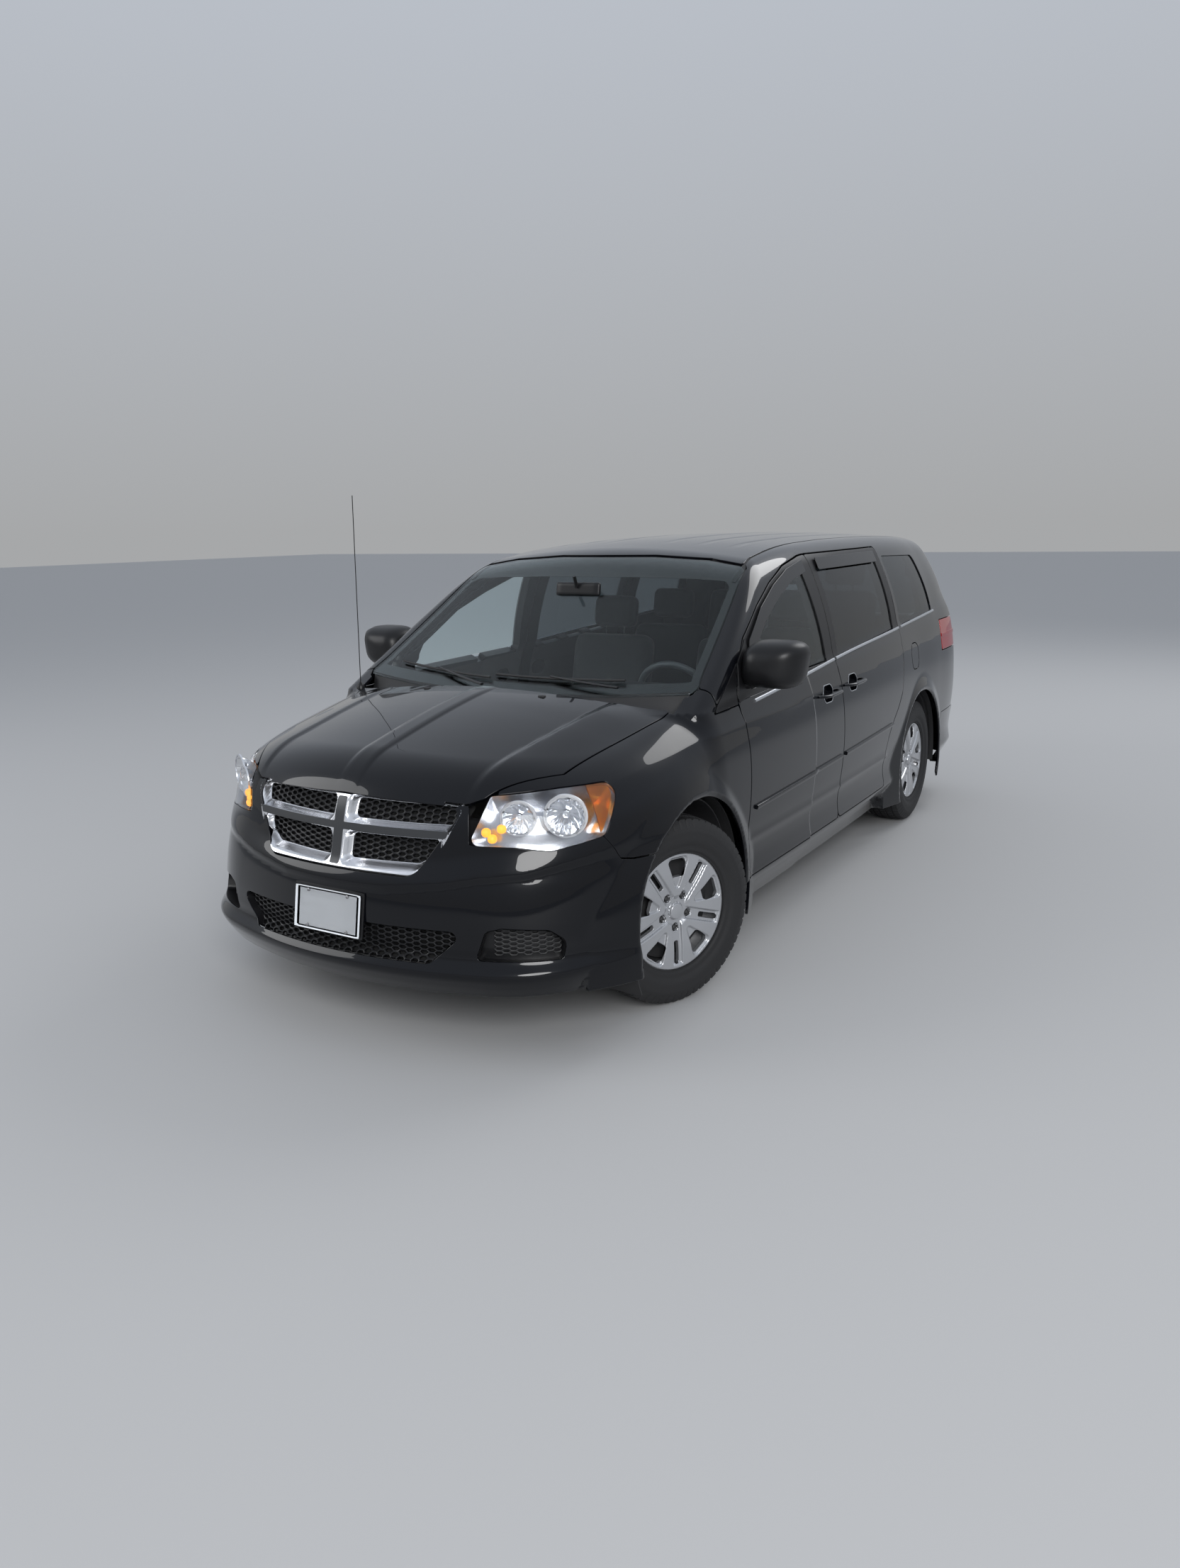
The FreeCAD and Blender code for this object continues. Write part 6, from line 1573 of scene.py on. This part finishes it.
for seatName, x, front, top, wide, rests in (
        ("driverSeat", 0.375, -0.5205, 0.640, 0.50, (0.0,)), ("guestSeat", -0.375, -0.5205, 0.640, 0.50,
                                                              (0.0,)),
        ("middleSeatLeft", 0.375, 0.1725, 0.640, 0.50, (0.0,)), ("middleSeatRight", -0.375, 0.1725, 0.640,
                                                                 0.50, (0.0,)),
        ("rearBench", 0.0, 1.1375, 0.790, 1.15, (-0.35, 0.0, 0.35))):
    points, quads = seatAt(x, front, top, wide, rests)
    made = addCopies(seatName, points, [(quads, 0)], [cloth], onBody)[0]
    posts = [roundedBox((0.006, 0.006, 0.05), 0.005, 4) for _ in rests for _ in (0, 1)]
    spots = [(x + r + side, front + 0.670, top + 0.585) for r in rests for side in (-0.055, 0.055)]
    basePoints, baseQuads = roundedBox((wide / 2 - 0.06, 0.20, 0.15), 0.02, 6)
    points, quads = joined([(p + s, q) for (p, q), s in zip(posts, spots)]
                           + [(basePoints + [x, front + 0.27, top - 0.27], baseQuads)])
    addCopies(seatName + "Base", points, [(quads, 0)], [dashTrim], onBody)
block("innerMirror", (0.115, 0.012, 0.032), 0.011, [at("root", (0.0, -0.845, 1.495), turned("x", -8))],
      satinBlack,
      count=8)
addBar("innerMirrorStalk", [(0.0, -0.860, 1.505), (0.0, -0.880, 1.555)], 0.008, onBody, satinBlack,
       count=8)
print("inside done")

# Fuel pocket with its cap
fuelSpot = landed(skin, fromSide, [1.345], [1.005])[0]
panel("fuelPocket", [at("root", (0, 0, 0))], skin, fromSide, line(1.25, 1.44, 0.01), line(0.91, 1.10, 0.01),
      flatKeep(fuelLoop, -0.001, fromSideOn), paint, "paint", wall=0.045, bucket=True)
points, faces = lathe([(0.0, 0.0), (0.0, 0.034), (0.012, 0.034), (0.016, 0.030), (0.018, 0.0)], 32)
addCopies("fuelCap", points, [(faces, 0)], [mattBlack],
          [at("root", fuelSpot - [0.044, 0, 0])])

# The frame's own pieces that stay in view get their finish here
for nodeName, look in (("underbody", structure), ("engine_block", castMetal), ("front_subframe", darkSteel),
                       ("knuckle_left", castMetal), ("knuckle_right", castMetal), ("half_shafts", darkSteel),
                       ("rear_axle", darkSteel), ("fuel_tank", mattBlack), ("exhaust", steel)):
    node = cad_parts[nodeName]
    node.data.materials.clear()
    node.data.materials.append(look)


# Floor, sky and light: each light has a place, size, power and target
setting = {"skyStrength": 0.62, "horizon": (0.62, 0.63, 0.64, 1), "sky": (0.82, 0.88, 0.98, 1),
           "floorGrey": 0.46,
           "floorReach": 60.0,
           "lights": {"keyLight": ((7.5, -9.5, 6.0), 5.0, 750.0, (0, 0, 0.6)),
                      "fillLight": ((-8.0, -7.0, 5.5), 6.0, 260.0, (0, -1, 0.6)),
                      "topLight": ((3.0, 8.0, 8.5), 6.0, 300.0, (0, 0, 1.0))}}


def studio():
    world = bpy.data.worlds.new("paleSky")
    bpy.context.scene.world = world
    world.use_nodes = True
    nodes, links = world.node_tree.nodes, world.node_tree.links
    back = nodes["Background"]
    place, split, ramp = (nodes.new(kind) for kind in
                          ("ShaderNodeTexCoord", "ShaderNodeSeparateXYZ", "ShaderNodeValToRGB"))
    links.new(place.outputs["Generated"], split.inputs["Vector"])
    links.new(split.outputs["Z"], ramp.inputs["Fac"])
    for stop, place, colour in zip(ramp.color_ramp.elements, (0.0, 0.45),
                                   (setting["horizon"], setting["sky"])):
        stop.position, stop.color = place, colour
    links.new(ramp.outputs["Color"], back.inputs["Color"])
    back.inputs["Strength"].default_value = setting["skyStrength"]
    floorMesh = bpy.data.meshes.new("paleFloor")
    reach = setting["floorReach"]
    floorMesh.from_pydata([(-reach, -reach, 0), (reach, -reach, 0), (reach, reach, 0), (-reach, reach, 0)],
                          [],
                          [(0, 1, 2, 3)])
    floorMesh.materials.append(material("paleFloor", [setting["floorGrey"]] * 3, 0.7))
    floor = bpy.data.objects.new("paleFloor", floorMesh)
    bpy.context.scene.collection.objects.link(floor)
    for name, (place, size, power, target) in setting["lights"].items():
        lamp = bpy.data.lights.new(name, "AREA")
        lamp.shape, lamp.size, lamp.energy = "DISK", size, power
        holder = bpy.data.objects.new(name, lamp)
        bpy.context.scene.collection.objects.link(holder)
        holder.location = place
        away = np.array(place) - np.array(target)
        holder.rotation_euler = (math.acos(away[2] / np.linalg.norm(away)), 0.0,
                                 math.atan2(away[1], away[0]) + math.pi / 2)


studio()


# The CAD pieces that the scene's own pieces stand for
standsFor = {
    "hoodPanel": ["hood"], "frontBumperSkin": ["front_bumper"], "roofPanel": ["roof_panel"],
    "windscreenPane": ["windscreen"], "slidePaneLeft": ["rear_side_glass"],
    "grilleSurround": ["grille_surround"], "grilleHoneycomb": ["grille_mesh"],
    "lampBowlLeft": ["headlamps"], "lampLensLeft": ["headlamp_lenses"],
    "frontPlate": ["front_plate"], "cowlPanel": ["cowl"], "aerialMast": ["antenna"],
    "tailgatePanel": ["tailgate"], "tailgatePane": ["tailgate_glass"], "tailLampLeft": ["tail_lamps"],
    "rearBumperSkin": ["rear_bumper"], "dashBody": ["dashboard"], "steeringWheel": ["steering_wheel"],
    "driverSeat": ["front_seats"], "rearBench": ["rear_seats"], "fuelDoor": ["fuel_door"],
}
for made, node in (("fender", "fender_"), ("frontDoor", "front_door_"), ("slidingDoor", "sliding_door_"),
                   ("bodySide", "body_side_"), ("frontPane", "door_glass_"), ("tyreFront", "tyre_front_"),
                   ("tyreRear", "tyre_rear_"), ("wheelCoverFront", "wheel_front_"),
                   ("wheelCoverRear", "wheel_rear_"), ("mirrorShell", "mirror_")):
    for ending in ("Left", "Right"):
        standsFor[made + ending] = [node + ending.lower()]
for made, nodes in standsFor.items():
    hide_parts(*nodes)
